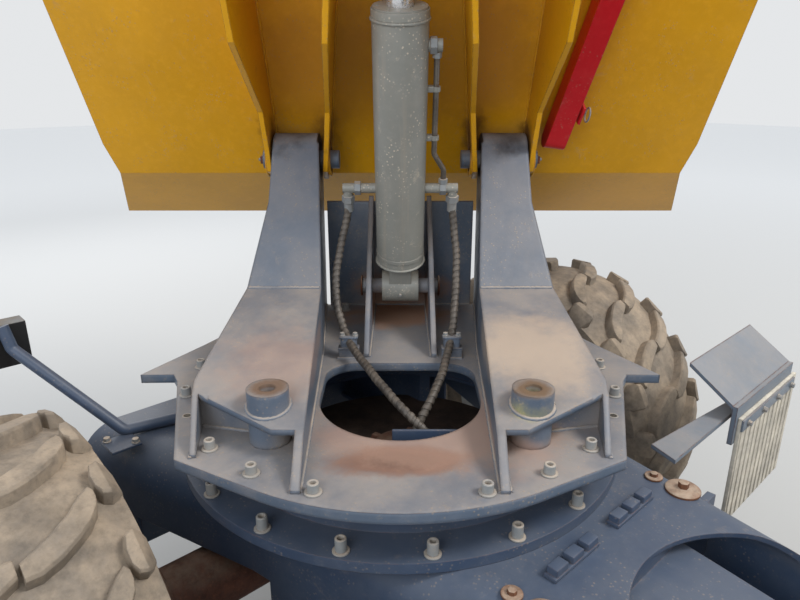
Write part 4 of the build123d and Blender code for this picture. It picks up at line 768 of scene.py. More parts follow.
def weld(name, place, paths, body, look_of, seed=1, radius=None):
    """Weld beads along paths of points in a frame, as one object."""
    sizes = bpy.context.scene.dumper_sizes
    spots, edges = [], []
    for path in paths:
        first = len(spots)
        spots += [place @ Vector(point) for point in path]
        edges += [(first + step, first + step + 1) for step in range(len(path) - 1)]
    lines = bpy.data.meshes.new("lines")
    lines.from_pydata(spots, edges, [])
    values = {"Radius": radius or sizes.weld_radius, "Pitch": sizes.weld_pitch, "Seed": seed}
    data = evaluate(lines, bead_tree, {**values, "Finish": finishes()[look_of]}, name)
    smooth_by_angle(data, radians(60))
    return show(name, data, body, look_of)


def socket_bolt(sizes, height=None):
    """A socket head bolt on its washer, standing on the XY plane."""
    bolt = Shape()
    radius, base, edge = sizes.head_radius, WASHER_THICKNESS, 0.0018
    bolt.ring((0, 0, 0), (0, 0, base), sizes.washer_radius, 0.6 * radius, 28, 0.0008)
    top = base + (height or sizes.head_height)
    bore = 0.52 * radius
    depth = top - 0.6 * sizes.head_height
    profile = (
        (base, 0), (base, radius), (top - edge, radius), (top, radius - edge), (top, bore + 0.0012),
        (top - 0.001, bore), (depth, bore), (depth, 0),
    )
    bolt.lathe((0, 0, 0), (0, 0, 1), profile, 24)
    return bolt.to_mesh("socket_bolt")


def hex_bolt(across, height, washer=None, thread=0.0):
    """A hexagon head or nut on a washer, with the thread's end standing out."""
    bolt = Shape()
    base = WASHER_THICKNESS if washer else 0.0
    if washer:
        bolt.ring((0, 0, 0), (0, 0, base), washer, 0.3 * across, 24, 0.0008)
    bolt.hexagon((0, 0, base), (0, 0, base + height), across)
    if thread:
        bolt.rod((0, 0, base + 0.5 * height), (0, 0, base + height + thread), 0.29 * across, 16)
    return bolt.to_mesh("hex_bolt")


def standing(place, point, up=(0, 0, 1), turn=0.0):
    """A placement at a point of a frame, its Z along a direction of that frame."""
    tilt = Vector(up).to_track_quat("Z", "Y").to_matrix().to_4x4()
    return place @ Matrix.Translation(Vector(point)) @ tilt @ Matrix.Rotation(turn, 4, "Z")


def on_circle(place, radius, angles, height, up=(0, 0, 1)):
    """Placements on a circle about a frame's Z, by the angle from its back towards its right."""
    return [
        standing(place, (radius * sin(radians(angle)), -radius * cos(radians(angle)), height), up)
        for angle in angles
    ]


def both_sides(points):
    """A path on the right, and its mirror image on the left."""
    return [points, [(-point[0], *point[1:]) for point in points]]


def on_arm(right, forward):
    """A point on the top plate of a console arm, in the console's frame."""
    stations = ((-0.55, 1.078), (-0.436, 1.137), (-0.25, 1.175), (0.187, 1.265), (0.489, 1.659))
    for (before, low), (after, high) in zip(stations, stations[1:]):
        if forward <= after:
            return (right, forward, low + (high - low) * (forward - before) / (after - before))
    return (right, forward, stations[-1][1])


class MakeStage(bpy.types.Operator):
    """Camera at the photograph's place, a pale floor and soft lamps"""

    bl_idname = "dumper.stage"
    bl_label = "Stage"

    def turned(self, data, place, direction):
        """A camera or a lamp at a place, looking along a direction."""
        piece = bpy.data.objects.new(data.name, data)
        piece.location = place
        piece.rotation_mode = "QUATERNION"
        piece.rotation_quaternion = direction.to_track_quat("-Z", "Y")
        bpy.context.scene.collection.objects.link(piece)
        return piece

    def lamp(self, name, place, aim, size, power, tint):
        data = bpy.data.lights.new(name, "AREA")
        data.shape = "DISK"
        data.size = size
        data.energy = power
        data.color = tint
        self.turned(data, place, Vector(aim) - Vector(place))

    def floor(self, half):
        """A flat floor that grows paler away from the machine."""
        data = bpy.data.meshes.new("floor")
        corners = [(-half, -half, 0), (half, -half, 0), (half, half, 0), (-half, half, 0)]
        data.from_pydata(corners, [], [(0, 1, 2, 3)])
        floor = bpy.data.objects.new("floor", data)
        bpy.context.scene.collection.objects.link(floor)
        f = Finish("floor_finish")
        shade = f.mix(f.fade(f.distance(f.here), 0.0, 14.0), srgb(158, 158, 157), srgb(217, 217, 217))
        data.materials.append(f.finish(shade, 0.9))

    def world(self, strength):
        """Cool light from all round, with a plain pale sky where the camera sees it."""
        world = bpy.data.worlds.new("studio")
        world.use_nodes = True
        w = Nodes(world.node_tree)
        rays = w.node("ShaderNodeLightPath").outputs
        clear = w.either(w.either(rays["Is Camera Ray"], rays["Is Glossy Ray"]), rays["Is Transmission Ray"])
        light = w.node("ShaderNodeBackground", {"Color": (0.92, 0.96, 1.0), "Strength": strength}).outputs[0]
        seen = w.node("ShaderNodeBackground", {"Color": srgb(228, 230, 232)}).outputs[0]
        mixed = w.node("ShaderNodeMixShader", {0: clear, 1: light, 2: seen}).outputs[0]
        w.node("ShaderNodeOutputWorld", {0: mixed})
        return world

    def execute(self, context):
        for name in ("Cube", "Light", "Camera"):
            if name in bpy.data.objects:
                bpy.data.objects.remove(bpy.data.objects[name])
        stage = context.scene.dumper_stage
        data = bpy.data.cameras.new("camera")
        data.lens = stage.focal
        data.clip_start = 0.05
        heading, pitch = stage.heading, stage.pitch
        ahead = Vector((sin(heading) * cos(pitch), cos(heading) * cos(pitch), -sin(pitch)))
        context.scene.camera = self.turned(data, stage.camera_place, ahead)
        self.floor(stage.floor_half)
        self.lamp("key", (2.6, -3.4, 7.2), (0.2, 0.6, 0.9), 2.6, stage.key_power, (1.0, 0.97, 0.92))
        self.lamp("fill", (-5.5, -1.5, 4.2), (0.0, 0.6, 1.0), 4.0, stage.fill_power, (0.93, 0.96, 1.0))
        self.lamp("far", (1.0, 7.5, 5.0), (0.0, 0.0, 1.2), 4.0, stage.fill_power, (1.0, 1.0, 1.0))
        context.scene.world = self.world(stage.sky)
        context.scene.view_settings.view_transform = "Standard"
        return {"FINISHED"}


# The hoses' routes in the console's frame, from the ram's fittings down the D-hole
HOSE_ROUTES = {
    "left": (
        (-0.158, 0.3245, 1.4936), (-0.161, 0.330, 1.462), (-0.174, 0.320, 1.405), (-0.190, 0.290, 1.340),
        (-0.198, 0.248, 1.272), (-0.192, 0.205, 1.205), (-0.173, 0.164, 1.152), (-0.150, 0.122, 1.119),
        (-0.128, 0.070, 1.108), (-0.100, 0.010, 1.099), (-0.066, -0.060, 1.090), (-0.028, -0.128, 1.074),
        (0.020, -0.180, 1.044), (0.072, -0.206, 1.004), (0.092, -0.214, 0.950), (0.098, -0.216, 0.900),
    ),
    "right": (
        (0.158, 0.3245, 1.4936), (0.160, 0.331, 1.462), (0.168, 0.324, 1.405), (0.174, 0.298, 1.340),
        (0.172, 0.258, 1.272), (0.166, 0.214, 1.207), (0.158, 0.168, 1.154), (0.148, 0.122, 1.119),
        (0.136, 0.070, 1.107), (0.124, 0.010, 1.096), (0.108, -0.050, 1.078), (0.082, -0.104, 1.050),
        (0.052, -0.146, 1.010), (0.030, -0.168, 0.958), (0.022, -0.176, 0.900),
    ),
}


def spline_points(name, route):
    """The points that Blender draws on a NURBS spline through a route's control points."""
    curve = bpy.data.curves.new(name, "CURVE")
    curve.dimensions = "3D"
    curve.resolution_u = 10
    spline = curve.splines.new("NURBS")
    spline.points.add(len(route) - 1)
    for point, spot in zip(spline.points, route):
        point.co = (*spot, 1)
    spline.order_u = 3
    spline.use_endpoint_u = True
    scratch = bpy.data.objects.new(name, curve)
    bpy.context.scene.collection.objects.link(scratch)
    bpy.context.view_layer.update()
    evaluated = scratch.evaluated_get(bpy.context.evaluated_depsgraph_get())
    line = bpy.data.meshes.new_from_object(evaluated)
    spots = [vert.co.copy() for vert in line.vertices]
    bpy.data.objects.remove(scratch)
    bpy.data.meshes.remove(line)
    return spots


def path_length(points):
    return sum((after - before).length for before, after in zip(points, points[1:]))


def even_points(points, gap):
    """Points along a path at an even gap."""
    total = path_length(points)
    count = max(2, round(total / gap))
    spots = [points[0]]
    wanted = total / count
    travelled = 0.0
    for before, after in zip(points, points[1:]):
        run = (after - before).length
        while travelled + run >= wanted * len(spots) and len(spots) < count:
            share = (wanted * len(spots) - travelled) / run
            spots.append(before.lerp(after, share))
        travelled += run
    spots.append(points[-1])
    return spots


class MakeHoses(bpy.types.Operator):
    """The tip ram's two hoses with their spiral wrap"""

    bl_idname = "dumper.hoses"
    bl_label = "Hoses"

    wrap_steps = 14
    wrap_thickness = 0.0016
    # Points where the hoses were to begin to follow the ram, and to follow it fully; nothing reads them, so
    # the hoses don't follow it
    blend_start = CONSOLE @ Vector((0, 0.14, 1.14))
    blend_end = CONSOLE @ Vector((0, 0.32, 1.46))

    def wrap(self, path, radius, pitch):
        """A flat strip wound round the hose, with a gap between its turns."""
        width = 0.66 * pitch
        part = bmesh.new()
        rings = []
        frames = carried_frames(even_points(path, pitch / self.wrap_steps))
        for place, (spot, side, up) in enumerate(frames):
            turn = place * 2 * pi / self.wrap_steps
            along = side.cross(up)
            out = cos(turn) * side + sin(turn) * up
            wobble = 1 + 0.05 * sin(place * 0.37) + 0.04 * sin(place * 1.3)
            low, high = radius * 0.97, (radius + self.wrap_thickness) * wobble
            ends = ((low, -0.5), (high, -0.46), (high, 0.46), (low, 0.5))
            corners = [spot + out * reach + along * share * width for reach, share in ends]
            rings.append([part.verts.new(corner) for corner in corners])
        skin(part, rings)
        strip = Shape()
        strip.take(part)
        return strip.to_mesh("wrap", radians(50))

    def execute(self, context):
        sizes = context.scene.dumper_sizes
        radius = sizes.hose_diameter / 2 * 0.93
        for name, route in HOSE_ROUTES.items():
            spots = [CONSOLE @ Vector(point) for point in route]
            path = spline_points("route", spots)
            hose = Shape()
            hose.tube(path, radius, 18)
            wrap = self.wrap(path, radius, sizes.wrap_pitch)
            for kind, data, look_of in (("line", hose.to_mesh("hose"), "hose"), ("wrap", wrap, "wrap")):
                piece = bpy.data.objects.new("hose_" + kind + "_" + name, data)
                context.scene.collection.objects.link(piece)
                data.materials.append(finishes()[look_of])
                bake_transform(piece)
            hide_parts("hose_" + name)
        return {"FINISHED"}


class MakeFinishes(bpy.types.Operator):
    """Paint, steel, rubber and plastic on every piece of the frame"""

    bl_idname = "dumper.finishes"
    bl_label = "Finishes"

    def execute(self, context):
        for look_of, nodes in NODE_FINISHES.items():
            for name in nodes:
                data = frame["nodes"][name].data
                data.materials.clear()
                data.materials.append(finishes()[look_of])
        return {"FINISHED"}


class MakeTyres(bpy.types.Operator):
    """Tyres with long lugs, shoulder blocks and ribbed side walls"""

    bl_idname = "dumper.tyres"
    bl_label = "Tyres"

    crown_drop = 0.022
    tread_half = 0.19
    sunk = 0.006
    lug_angle = radians(28)
    # Stations of a lug: across, along, half width and share of the height
    long_lug = (
        (0.004, -0.052, 0.018, 0.97), (0.03, -0.046, 0.025, 1.0), (0.065, -0.030, 0.028, 1.0),
        (0.1, -0.006, 0.030, 1.0), (0.130, 0.022, 0.034, 1.0), (0.150, 0.044, 0.028, 0.98),
        (0.156, 0.05, 0.014, 0.93),
    )
    shoulder_block = (
        (0.164, 0.082, 0.020, 0.93), (0.171, 0.086, 0.040, 1.0), (0.187, 0.088, 0.047, 1.0),
        (0.203, 0.090, 0.042, 1.0), (0.2145, 0.092, 0.033, 0.8), (0.219, 0.094, 0.028, 0.3),
    )

    def top(self, across, radius):
        """The radius of the lugs' tops at a distance from the tyre's middle."""
        across = abs(across)
        if across <= self.tread_half:
            return radius - self.crown_drop * (across / self.tread_half) ** 2
        return radius - self.crown_drop - 1.6 * (across - self.tread_half)

    def lug(self, stations, radius, height, hand):
        """One lug on the tread, from its stations."""
        part = bmesh.new()
        rings = []
        for across, along, half, share in stations:
            floor = self.top(across, radius) - height
            low, high = floor - self.sunk, floor + height * share
            outline = (
                (-half - 0.005, low), (-half, high - 0.006), (-half + 0.006, high),
                (half - 0.006, high), (half, high - 0.006), (half + 0.005, low),
            )
            ring = []
            for offset, level in outline:
                turn = hand * (along + offset) / radius
                ring.append(part.verts.new((hand * across, level * sin(turn), level * cos(turn))))
            rings.append(ring)
        skin(part, rings)
        return part

    def carcass(self, radius, half, height):
        """The tyre's body, from bead to bead, with ribs on its side walls."""
        profile = []
        for step in range(-4, 5):
            across = step * 0.049
            profile.append((across, self.top(across, radius) - height))
        wall = [
            (0.212, 0.515), (0.2175, 0.490), (half - 0.001, 0.455), (half - 0.001, 0.440),
            (half, 0.438), (half, 0.430), (half - 0.002, 0.428), (half - 0.005, 0.395),
            (half - 0.011, 0.372), (half - 0.008, 0.369), (half - 0.009, 0.360), (half - 0.016, 0.356),
            (0.196, 0.335), (0.187, 0.322), (0.178, 0.312), (0.166, 0.309), (0.166, 0.288),
        ]
        outline = [(-across, reach) for across, reach in reversed(wall)] + profile + wall
        outline.append(outline[0])
        body = Shape()
        body.lathe((0, 0, 0), (1, 0, 0), outline, 120)
        return body.to_mesh("carcass", radians(40))

    def execute(self, context):
        sizes = context.scene.dumper_sizes
        height = sizes.lug_height
        for name in WHEEL_HANDS:
            body = "wheel_" + name
            low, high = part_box("tyre_" + name)
            radius, half = (high.z - low.z) / 2, (high.x - low.x) / 2 - 0.0005
            place = Matrix.Translation((low + high) / 2)
            carcass = self.carcass(radius, half, height)
            carcass.transform(place)
            tyre = show("tyre_body_" + name, carcass, body, "tyre")
            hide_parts("tyre_" + name)
            for hand, side in ((-1, "left"), (1, "right")):
                pitch = Shape()
                for stations in (self.long_lug, self.shoulder_block):
                    pitch.take(self.lug(stations, radius, height, hand))
                piece = pitch.to_mesh("pitch", self.lug_angle)
                around = turns(sizes.lug_count, 0.5 if hand > 0 else 0)
                spots = [place @ Matrix.Rotation(turn, 4, "X") for turn in around]
                repeat("lugs_" + side + "_" + name, piece, spots, body, "tyre", sharp=self.lug_angle)
        return {"FINISHED"}


class MakeWheelHubs(bpy.types.Operator):
    """Hub caps with the ring behind them, wheel nuts and hub bolts"""

    bl_idname = "dumper.wheel_hubs"
    bl_label = "Wheel hubs"

    cap_profile = (
        (0, 0.118), (0.006, 0.118), (0.012, 0.108), (0.03, 0.102), (0.038, 0.094), (0.04, 0.05),
        (0.048, 0.044), (0.05, 0),
    )
    # Name, count, first turn in steps, distance out, radius of the circle, finish and seed
    rounds = (
        ("wheel_nuts_", 10, 0, 0.028, 0.168, "nut_rust", 3),
        ("hub_bolts_", 8, 0.5, 0.132, 0.078, "bolt", 4),
    )

    def execute(self, context):
        fasteners = (hex_bolt(0.030, 0.022, 0.024, 0.008), hex_bolt(0.022, 0.012))
        for name, hand in WHEEL_HANDS.items():
            low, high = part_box("tyre_" + name)
            place = Matrix.Translation((low + high) / 2)
            out = Vector((hand, 0, 0))
            hub = Shape(place)
            hub.lathe(out * 0.094, out * 0.2, self.cap_profile, 48)
            hub.ring(out * 0.026, out * 0.04, 0.152, 0.121, 48)
            hub.show("hub_cap_" + name, "wheel_" + name, "rim")
            for fastener, (label, count, first, reach, circle, look_of, seed) in zip(fasteners, self.rounds):
                spots = [
                    place @ Matrix.Rotation(turn, 4, "X") @ standing(CHASSIS, (hand * reach, 0, circle), out)
                    for turn in turns(count, first)
                ]
                repeat(label + name, fastener, spots, "wheel_" + name, look_of, play=0.5, seed=seed)
        return {"FINISHED"}


class MakeRingBolts(bpy.types.Operator):
    """Bolts, washers and nuts of the slew ring"""

    bl_idname = "dumper.ring_bolts"
    bl_label = "Ring bolts"

    plate_circle = 0.572
    plate_angles = (17.7, 33, 48, 77.5, 95, 112, 129, 160)
    plate_thickness = 0.025
    empty_angles = (-66, 66, -144, 144)
    flange_circle = 0.57
    flange_top = 0.938
    flange_count = 19
    flange_start = -12.3
    tall_head = 0.030
    hole_radius = 0.0085
    play = 0.6

    def execute(self, context):
        sizes = context.scene.dumper_sizes
        angles = [hand * angle for angle in self.plate_angles for hand in HANDS]
        spots = on_circle(CONSOLE, self.plate_circle, angles, PLATE_TOP)
        repeat("plate_bolts", socket_bolt(sizes), spots, "console", "bolt", play=self.play, seed=5)
        spots = on_circle(CONSOLE, self.plate_circle, angles, PLATE_TOP - self.plate_thickness, (0, 0, -1))
        nut = hex_bolt(0.024, 0.016, 0.0175, 0.007)
        repeat("plate_nuts", nut, spots, "console", "nut_rust", play=self.play, seed=6)
        turn = 360 / self.flange_count
        around = [turn * step + self.flange_start for step in range(self.flange_count)]
        spots = on_circle(CONSOLE, self.flange_circle, around, self.flange_top)
        tall = socket_bolt(sizes, self.tall_head)
        repeat("flange_bolts", tall, spots, "front_frame", "bolt", play=self.play, seed=7)
        rim, dark = Shape(), Shape()
        rim.ring((0, 0, -0.001), (0, 0, 0.0016), self.hole_radius + 0.004, self.hole_radius, 24, 0.0005)
        # A near-black disc in each empty hole: painted shade inside the hole
        dark.rod((0, 0, -0.001), (0, 0, 0.0008), self.hole_radius + 0.0001, 20, 0.0001)
        spots = on_circle(CONSOLE, self.plate_circle, self.empty_angles, PLATE_TOP)
        repeat("hole_rims", rim.to_mesh("rim"), spots, "console", "bolt", seed=8)
        repeat("hole_darks", dark.to_mesh("dark"), spots, "console", "hole_shade", seed=8)
        return {"FINISHED"}


class MakeConsoleWelds(bpy.types.Operator):
    """Weld beads and pocket walls of the console"""

    bl_idname = "dumper.console_welds"
    bl_label = "Console welds"

    boss_weld = 0.0485
    wall_top = 1.1475

    def execute(self, context):
        z = PLATE_TOP
        inner = [(0.2, -0.545, z), (0.235, 0.187, z), (0.268, 0.55, z), (0.268, 0.598, z)]
        outer = [
            (0.458, -0.424, z), (0.49, -0.25, z), (0.455, 0.187, z), (0.41, 0.36, z), (0.41, 0.598, z),
        ]
        curb = [(0.22, -0.545, z), (0.2265, -0.43, z), (0.2335, -0.328, z)]
        fold = [on_arm(0.24, 0.187), on_arm(0.45, 0.187)]
        front = [(0.27, 0.601, z), (0.408, 0.601, z)]
        pocket = [(0.245, -0.3305, z), (0.47, -0.281, z)]
        around = turns(32, closed=True)
        boss = [on_arm(0.297 + self.boss_weld * cos(a), -0.34 + self.boss_weld * sin(a)) for a in around]
        clamp = [(0.122, 0.111, z), (0.182, 0.111, z), (0.182, 0.139, z)]
        paths = [[(hand * x, 0.122, z), (hand * x, 0.598, z)] for hand in HANDS for x in (0.0915, 0.1085)]
        paths.append([(-0.253, 0.599, z), (0.253, 0.599, z)])
        for path in (inner, outer, curb, fold, front, pocket, boss, clamp):
            paths += both_sides(path)
        weld("console_welds", CONSOLE, paths, "console", "weld", seed=2)
        walls = Shape(CONSOLE)
        for outline in both_sides([(0.237, -0.331), (0.478, -0.278), (0.478, -0.268), (0.237, -0.321)]):
            walls.prism("z", outline, z, self.wall_top, 0.001)
        walls.show("pocket_walls", "console", "console")
        return {"FINISHED"}


class MakeHoseClamps(bpy.types.Operator):
    """Clamps on their blocks, and the bracket where the hoses end under the plate"""

    bl_idname = "dumper.hose_clamps"
    bl_label = "Hose clamps"

    clamp_x = 0.152
    clamp_y = 0.125
    bolt_reach = 0.019
    # Half width, half depth, bottom, top and edge of each clamp's layers
    layers = (
        (0.031, 0.016, 1.098, 1.103, 0.001),
        (0.024, 0.012, 1.102, 1.1325, 0.006),
        (0.028, 0.013, 1.132, 1.137, 0.001),
    )
    hose_ends = ((0.098, -0.216), (0.022, -0.176))
    shelf = (0.866, 0.874)

    def execute(self, context):
        clamps = Shape(CONSOLE)
        for hand in HANDS:
            x, y = hand * self.clamp_x, self.clamp_y
            for wide, deep, low, high, edge in self.layers:
                clamps.block((x - wide, x + wide), (y - deep, y + deep), (low, high), edge)
        clamps.show("clamp_tops", "console", "console")
        top = self.layers[-1][3]
        spots = [
            standing(CONSOLE, (hand * (self.clamp_x + side * self.bolt_reach), self.clamp_y, top))
            for hand in HANDS for side in HANDS
        ]
        repeat("clamp_bolts", hex_bolt(0.013, 0.007, 0.009), spots, "console", "bolt", play=0.5, seed=3)
        low, high = self.shelf
        bracket = Shape(CONSOLE)
        bracket.block((-0.02, 0.14), (-0.262, -0.254), (high, 1.046), 0.001)
        bracket.block((-0.02, 0.14), (-0.262, -0.14), self.shelf, 0.001)
        bracket.show("hose_bracket", "console", "frame", "console_grey")
        fittings = Shape(CONSOLE)
        for x, y in self.hose_ends:
            fittings.hexagon((x, y, high), (x, y, high + 0.018), 0.032)
            fittings.ring((x, y, high + 0.018), (x, y, high + 0.051), 0.0148, 0.0105, 24)
            fittings.hexagon((x, y, low - 0.014), (x, y, low), 0.032)
            fittings.rod((x, y, low - 0.036), (x, y, low - 0.014), 0.009, 16)
        fittings.show("hose_ends", "console", "bolt")
        return {"FINISHED"}


class MakePivots(bpy.types.Operator):
    """Keepers, bosses and grease nipples at the skip's pivots and the ram's base pin"""

    bl_idname = "dumper.pivots"
    bl_label = "Pivots"

    pin_end = 0.4535
    pivot = (0.55, 1.6)
    base_pin = (0.42, 1.2)

    def execute(self, context):
        keepers, nipples, bosses = Shape(CONSOLE), Shape(CONSOLE), Shape(SKIP)
        y, z = self.pivot
        for hand in HANDS:
            out = hand * self.pin_end
            reach = (out, out + hand * 0.008)
            keepers.block(reach, (y - 0.024, y + 0.024), (z - 0.012, z + 0.012), 0.0015)
            keepers.rod((hand * 0.125, *self.base_pin), (hand * 0.1305, *self.base_pin), 0.034, 32)
            nipples.rod((out, y, z), (out + hand * 0.018, y, z), 0.005, 14)
            nipples.hexagon((out + hand * 0.008, y, z), (out + hand * 0.0135, y, z), 0.013)
            for low, high, radius in ((0.434, 0.4405, 0.058), (0.229, 0.2385, 0.056)):
                bosses.ring((hand * low, 0, 0), (hand * high, 0, 0), radius, 0.04, 40)
        keepers.show("pin_keepers", "console", "rust")
        nipples.show("grease_nipples", "console", "bolt")
        bosses.show("pivot_bosses", "skip", "skip")
        return {"FINISHED"}


class MakeRamFittings(bpy.types.Operator):
    """Unions, weld rings, gland and pipe clips of the tip ram"""

    bl_idname = "dumper.ram_fittings"
    bl_label = "Ram fittings"

    barrel = 0.0755
    fitting_x = 0.158
    pipe_x = 0.098
    clip_heights = (0.52, 0.66)

    def weld_ring(self, height):
        around = turns(48, closed=True)
        return [(self.barrel * cos(turn), self.barrel * sin(turn), height) for turn in around]

    def execute(self, context):
        rings = [self.weld_ring(height) for height in (0.106, 0.843)]
        weld("ram_welds", RAM, rings, "ram_barrel", "ram", seed=4, radius=0.0045)
        gland = Shape(RAM)
        gland.ring((0, 0, 0.846), (0, 0, 0.868), 0.0765, 0.0715, 64, 0.002)
        for step in range(6):
            x, y = 0.06 * cos(pi * step / 3), 0.06 * sin(pi * step / 3)
            gland.rod((x, y, 0.868), (x, y, 0.8745), 0.0055, 14)
        gland.ring((0, 0, 0.128), (0, 0, 0.142), 0.0765, 0.074, 64, 0.001)
        for z in self.clip_heights:
            gland.block((0.0735, 0.091), (-0.009, 0.009), (z - 0.008, z + 0.008), 0.001)
            gland.ring((self.pipe_x, 0, z - 0.007), (self.pipe_x, 0, z + 0.007), 0.0125, 0.0082, 24, 0.0008)
        gland.show("ram_gland", "ram_barrel", "ram")
        steel = Shape(RAM)
        for hand in HANDS:
            x = hand * self.fitting_x
            steel.hexagon((x, 0, 0.336), (x, 0, 0.313), 0.034)
            steel.ring((x, 0, 0.313), (x, 0, 0.283), 0.0142, 0.0112, 24)
            steel.hexagon((hand * 0.118, 0, 0.36), (hand * 0.138, 0, 0.36), 0.036)
        steel.hexagon((0.128, 0, 0.376), (0.128, 0, 0.392), 0.024)
        steel.hexagon((self.pipe_x, 0, 0.742), (self.pipe_x, 0, 0.758), 0.022)
        steel.hexagon((0.078, 0, 0.775), (self.pipe_x, 0, 0.775), 0.040)
        steel.rod((0, -0.052, 0), (0, -0.062, 0), 0.005, 14)
        steel.show("ram_unions", "ram_barrel", "bolt")
        return {"FINISHED"}


class MakeSkipDetails(bpy.types.Operator):
    """Welds of the skip's brackets, and the prop's catch, clip and hinge rings"""

    bl_idname = "dumper.skip_details"
    bl_label = "Skip details"

    inner_lean = radians(6)
    bracket_ends = (-1.33, 0.108)
    clip_y = 0.895
    loop_radius = 0.022
    gusset_places = (0.2, 0.98)

    def execute(self, context):
        z = 0.0895
        back, front = self.bracket_ends
        lean = sin(self.inner_lean) / cos(self.inner_lean)
        paths = []
        for x in (0.4165, 0.4355):
            paths += both_sides([(x, back, z), (x, front, z)])
        for x in (0.2535, 0.2345):
            paths += both_sides([(x + back * lean, back, z), (x + front * lean, front, z)])
        paths += both_sides([(0.16, -0.949, z), (0.25, -0.949, z)])
        weld("skip_welds", SKIP, paths, "skip", "skip", seed=3, radius=0.005)
        steel = Shape(PROP)
        for hand in HANDS:
            steel.ring((hand * 0.05, 0, 0), (hand * 0.0535, 0, 0), 0.022, 0.0145, 28)
        steel.rod((0.0565, -0.022, 0.004), (0.0565, 0.024, -0.004), 0.0022, 10, 0.0004)
        steel.rod((0.037, self.clip_y, 0.004), (0.066, self.clip_y, 0.004), 0.007, 18)
        reach = self.loop_radius
        loop = [(0.068, self.clip_y + reach * cos(turn), reach * sin(turn) - 0.018) for turn in turns(24)]
        steel.tube(loop, context.scene.dumper_sizes.rope_radius, 8, closed=True)
        steel.show("prop_clip", "skip", "bolt")
        catch, gussets = Shape(PROP), Shape(PROP)
        catch.block((0.0415, 0.0505), (0.866, 0.924), (-0.036, 0.054), 0.002)
        catch.show("prop_catch", "skip", "prop")
        for y in self.gusset_places:
            gussets.block((-0.0285, 0.0285), (y, y + 0.006), (-0.0285, 0.02), 0.001)
        gussets.show("prop_gussets", "prop", "prop")
        return {"FINISHED"}


class MakeFrontFrameParts(bpy.types.Operator):
    """Stops, caps and stalk feet on the front frame's deck, and what shows through the D-hole"""

    bl_idname = "dumper.front_frame_parts"
    bl_label = "Front frame parts"

    stop_places = (0.062, 0.118, 0.174)
    cap_x = 0.285
    cap_y = 0.456
    washer_y = 0.53
    pan_top = 0.804
    pan_radius = 0.4
    foot_plate = 0.007

    def execute(self, context):
        bars, caps = Shape(), Shape()
        for hand in HANDS:
            bars.block((hand * 0.04, hand * 0.2), (0.488, 0.518), (DECK, DECK + 0.009), 0.0015)
            for place in self.stop_places:
                x = hand * place
                bars.block((x - 0.02, x + 0.02), (0.490, 0.516), (DECK + 0.008, DECK + 0.026), 0.002)
            x, y, washer_y = hand * self.cap_x, self.cap_y, self.washer_y
            profile = ((0, 0.041), (0.005, 0.041), (0.008, 0.037), (0.010, 0))
            caps.lathe((x, y, DECK), (x, y, 2), profile, 40)
            caps.hexagon((x, y, DECK + 0.008), (x, y, DECK + 0.024), 0.022)
            caps.ring((x, washer_y, DECK), (x, washer_y, DECK + 0.006), 0.022, 0.009, 32)
            caps.hexagon((x, washer_y, DECK), (x, washer_y, DECK + 0.014), 0.017)
        bars.show("steering_stops", "front_frame", "frame")
        caps.show("deck_caps", "front_frame", "nut_rust", "cast")
        pan, union = Shape(CONSOLE), Shape(CONSOLE)
        pan.rod((0, 0, self.pan_top - 0.006), (0, 0, self.pan_top), self.pan_radius, 64)
        pan.show("swivel_pan", "front_frame", "pan")
        profile = ((0, 0.1), (0.012, 0.1), (0.016, 0.078), (0.05, 0.074), (0.062, 0.05), (0.066, 0))
        union.lathe((0, 0, self.pan_top), (0, 0, 2), profile, 48)
        for turn in range(5):
            x, y = cos(1.25 * turn), sin(1.25 * turn)
            union.hexagon((0.07 * x, 0.07 * y, 0.836), (0.1 * x, 0.1 * y, 0.836), 0.03)
        union.show("swivel_union", "front_frame", "casting")
        feet = Shape()
        top = DECK + self.foot_plate
        spots = []
        for hand in HANDS:
            feet.block((hand * 0.585, hand * 0.665), (1.55, 1.63), (DECK, top), 0.001)
            for x, y in ((0.597, 1.562), (0.653, 1.618)):
                spots.append(standing(CHASSIS, (hand * x, y, top)))
        feet.show("stalk_feet", "front_frame", "frame")
        repeat("stalk_bolts", hex_bolt(0.016, 0.009, 0.011), spots, "front_frame", "bolt", play=0.4, seed=2)
        return {"FINISHED"}


class MakeMudflapRibs(bpy.types.Operator):
    """Upright ribs and clamp bars of the front mudflaps"""

    bl_idname = "dumper.mudflap_ribs"
    bl_label = "Mudflap ribs"

    rib_count = 12
    rib_pitch = 0.038
    bolt_count = 4
    bolt_pitch = 0.12
    edge = 0.03
    bar_length = 0.43

    def execute(self, context):
        rib = Shape()
        rib.block((-0.004, 0.004), (-0.0085, 0.0085), (-0.17, 0.165), 0.002)
        low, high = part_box("mudflaps")
        outer = high.x - self.edge
        spots = [
            standing(CHASSIS, (hand * (outer - self.rib_pitch * step), (low.y + high.y) / 2, 0.745))
            for hand in HANDS for step in range(self.rib_count)
        ]
        repeat("flap_ribs", rib.to_mesh("rib"), spots, "front_frame", "flap")
        bars = Shape()
        spots = []
        face = low.y - 0.006
        for hand in HANDS:
            reach = (hand * (outer - self.bar_length), hand * outer)
            bars.block(reach, (face, low.y), (0.893, 0.928), 0.001)
            for step in range(self.bolt_count):
                x = hand * (outer - self.edge - self.bolt_pitch * step)
                spots.append(standing(CHASSIS, (x, face, 0.91), (0, -1, 0)))
        bars.show("flap_bars", "front_frame", "guard")
        repeat("flap_bolts", hex_bolt(0.014, 0.007, 0.0095), spots, "front_frame", "bolt", play=0.4, seed=3)
        return {"FINISHED"}


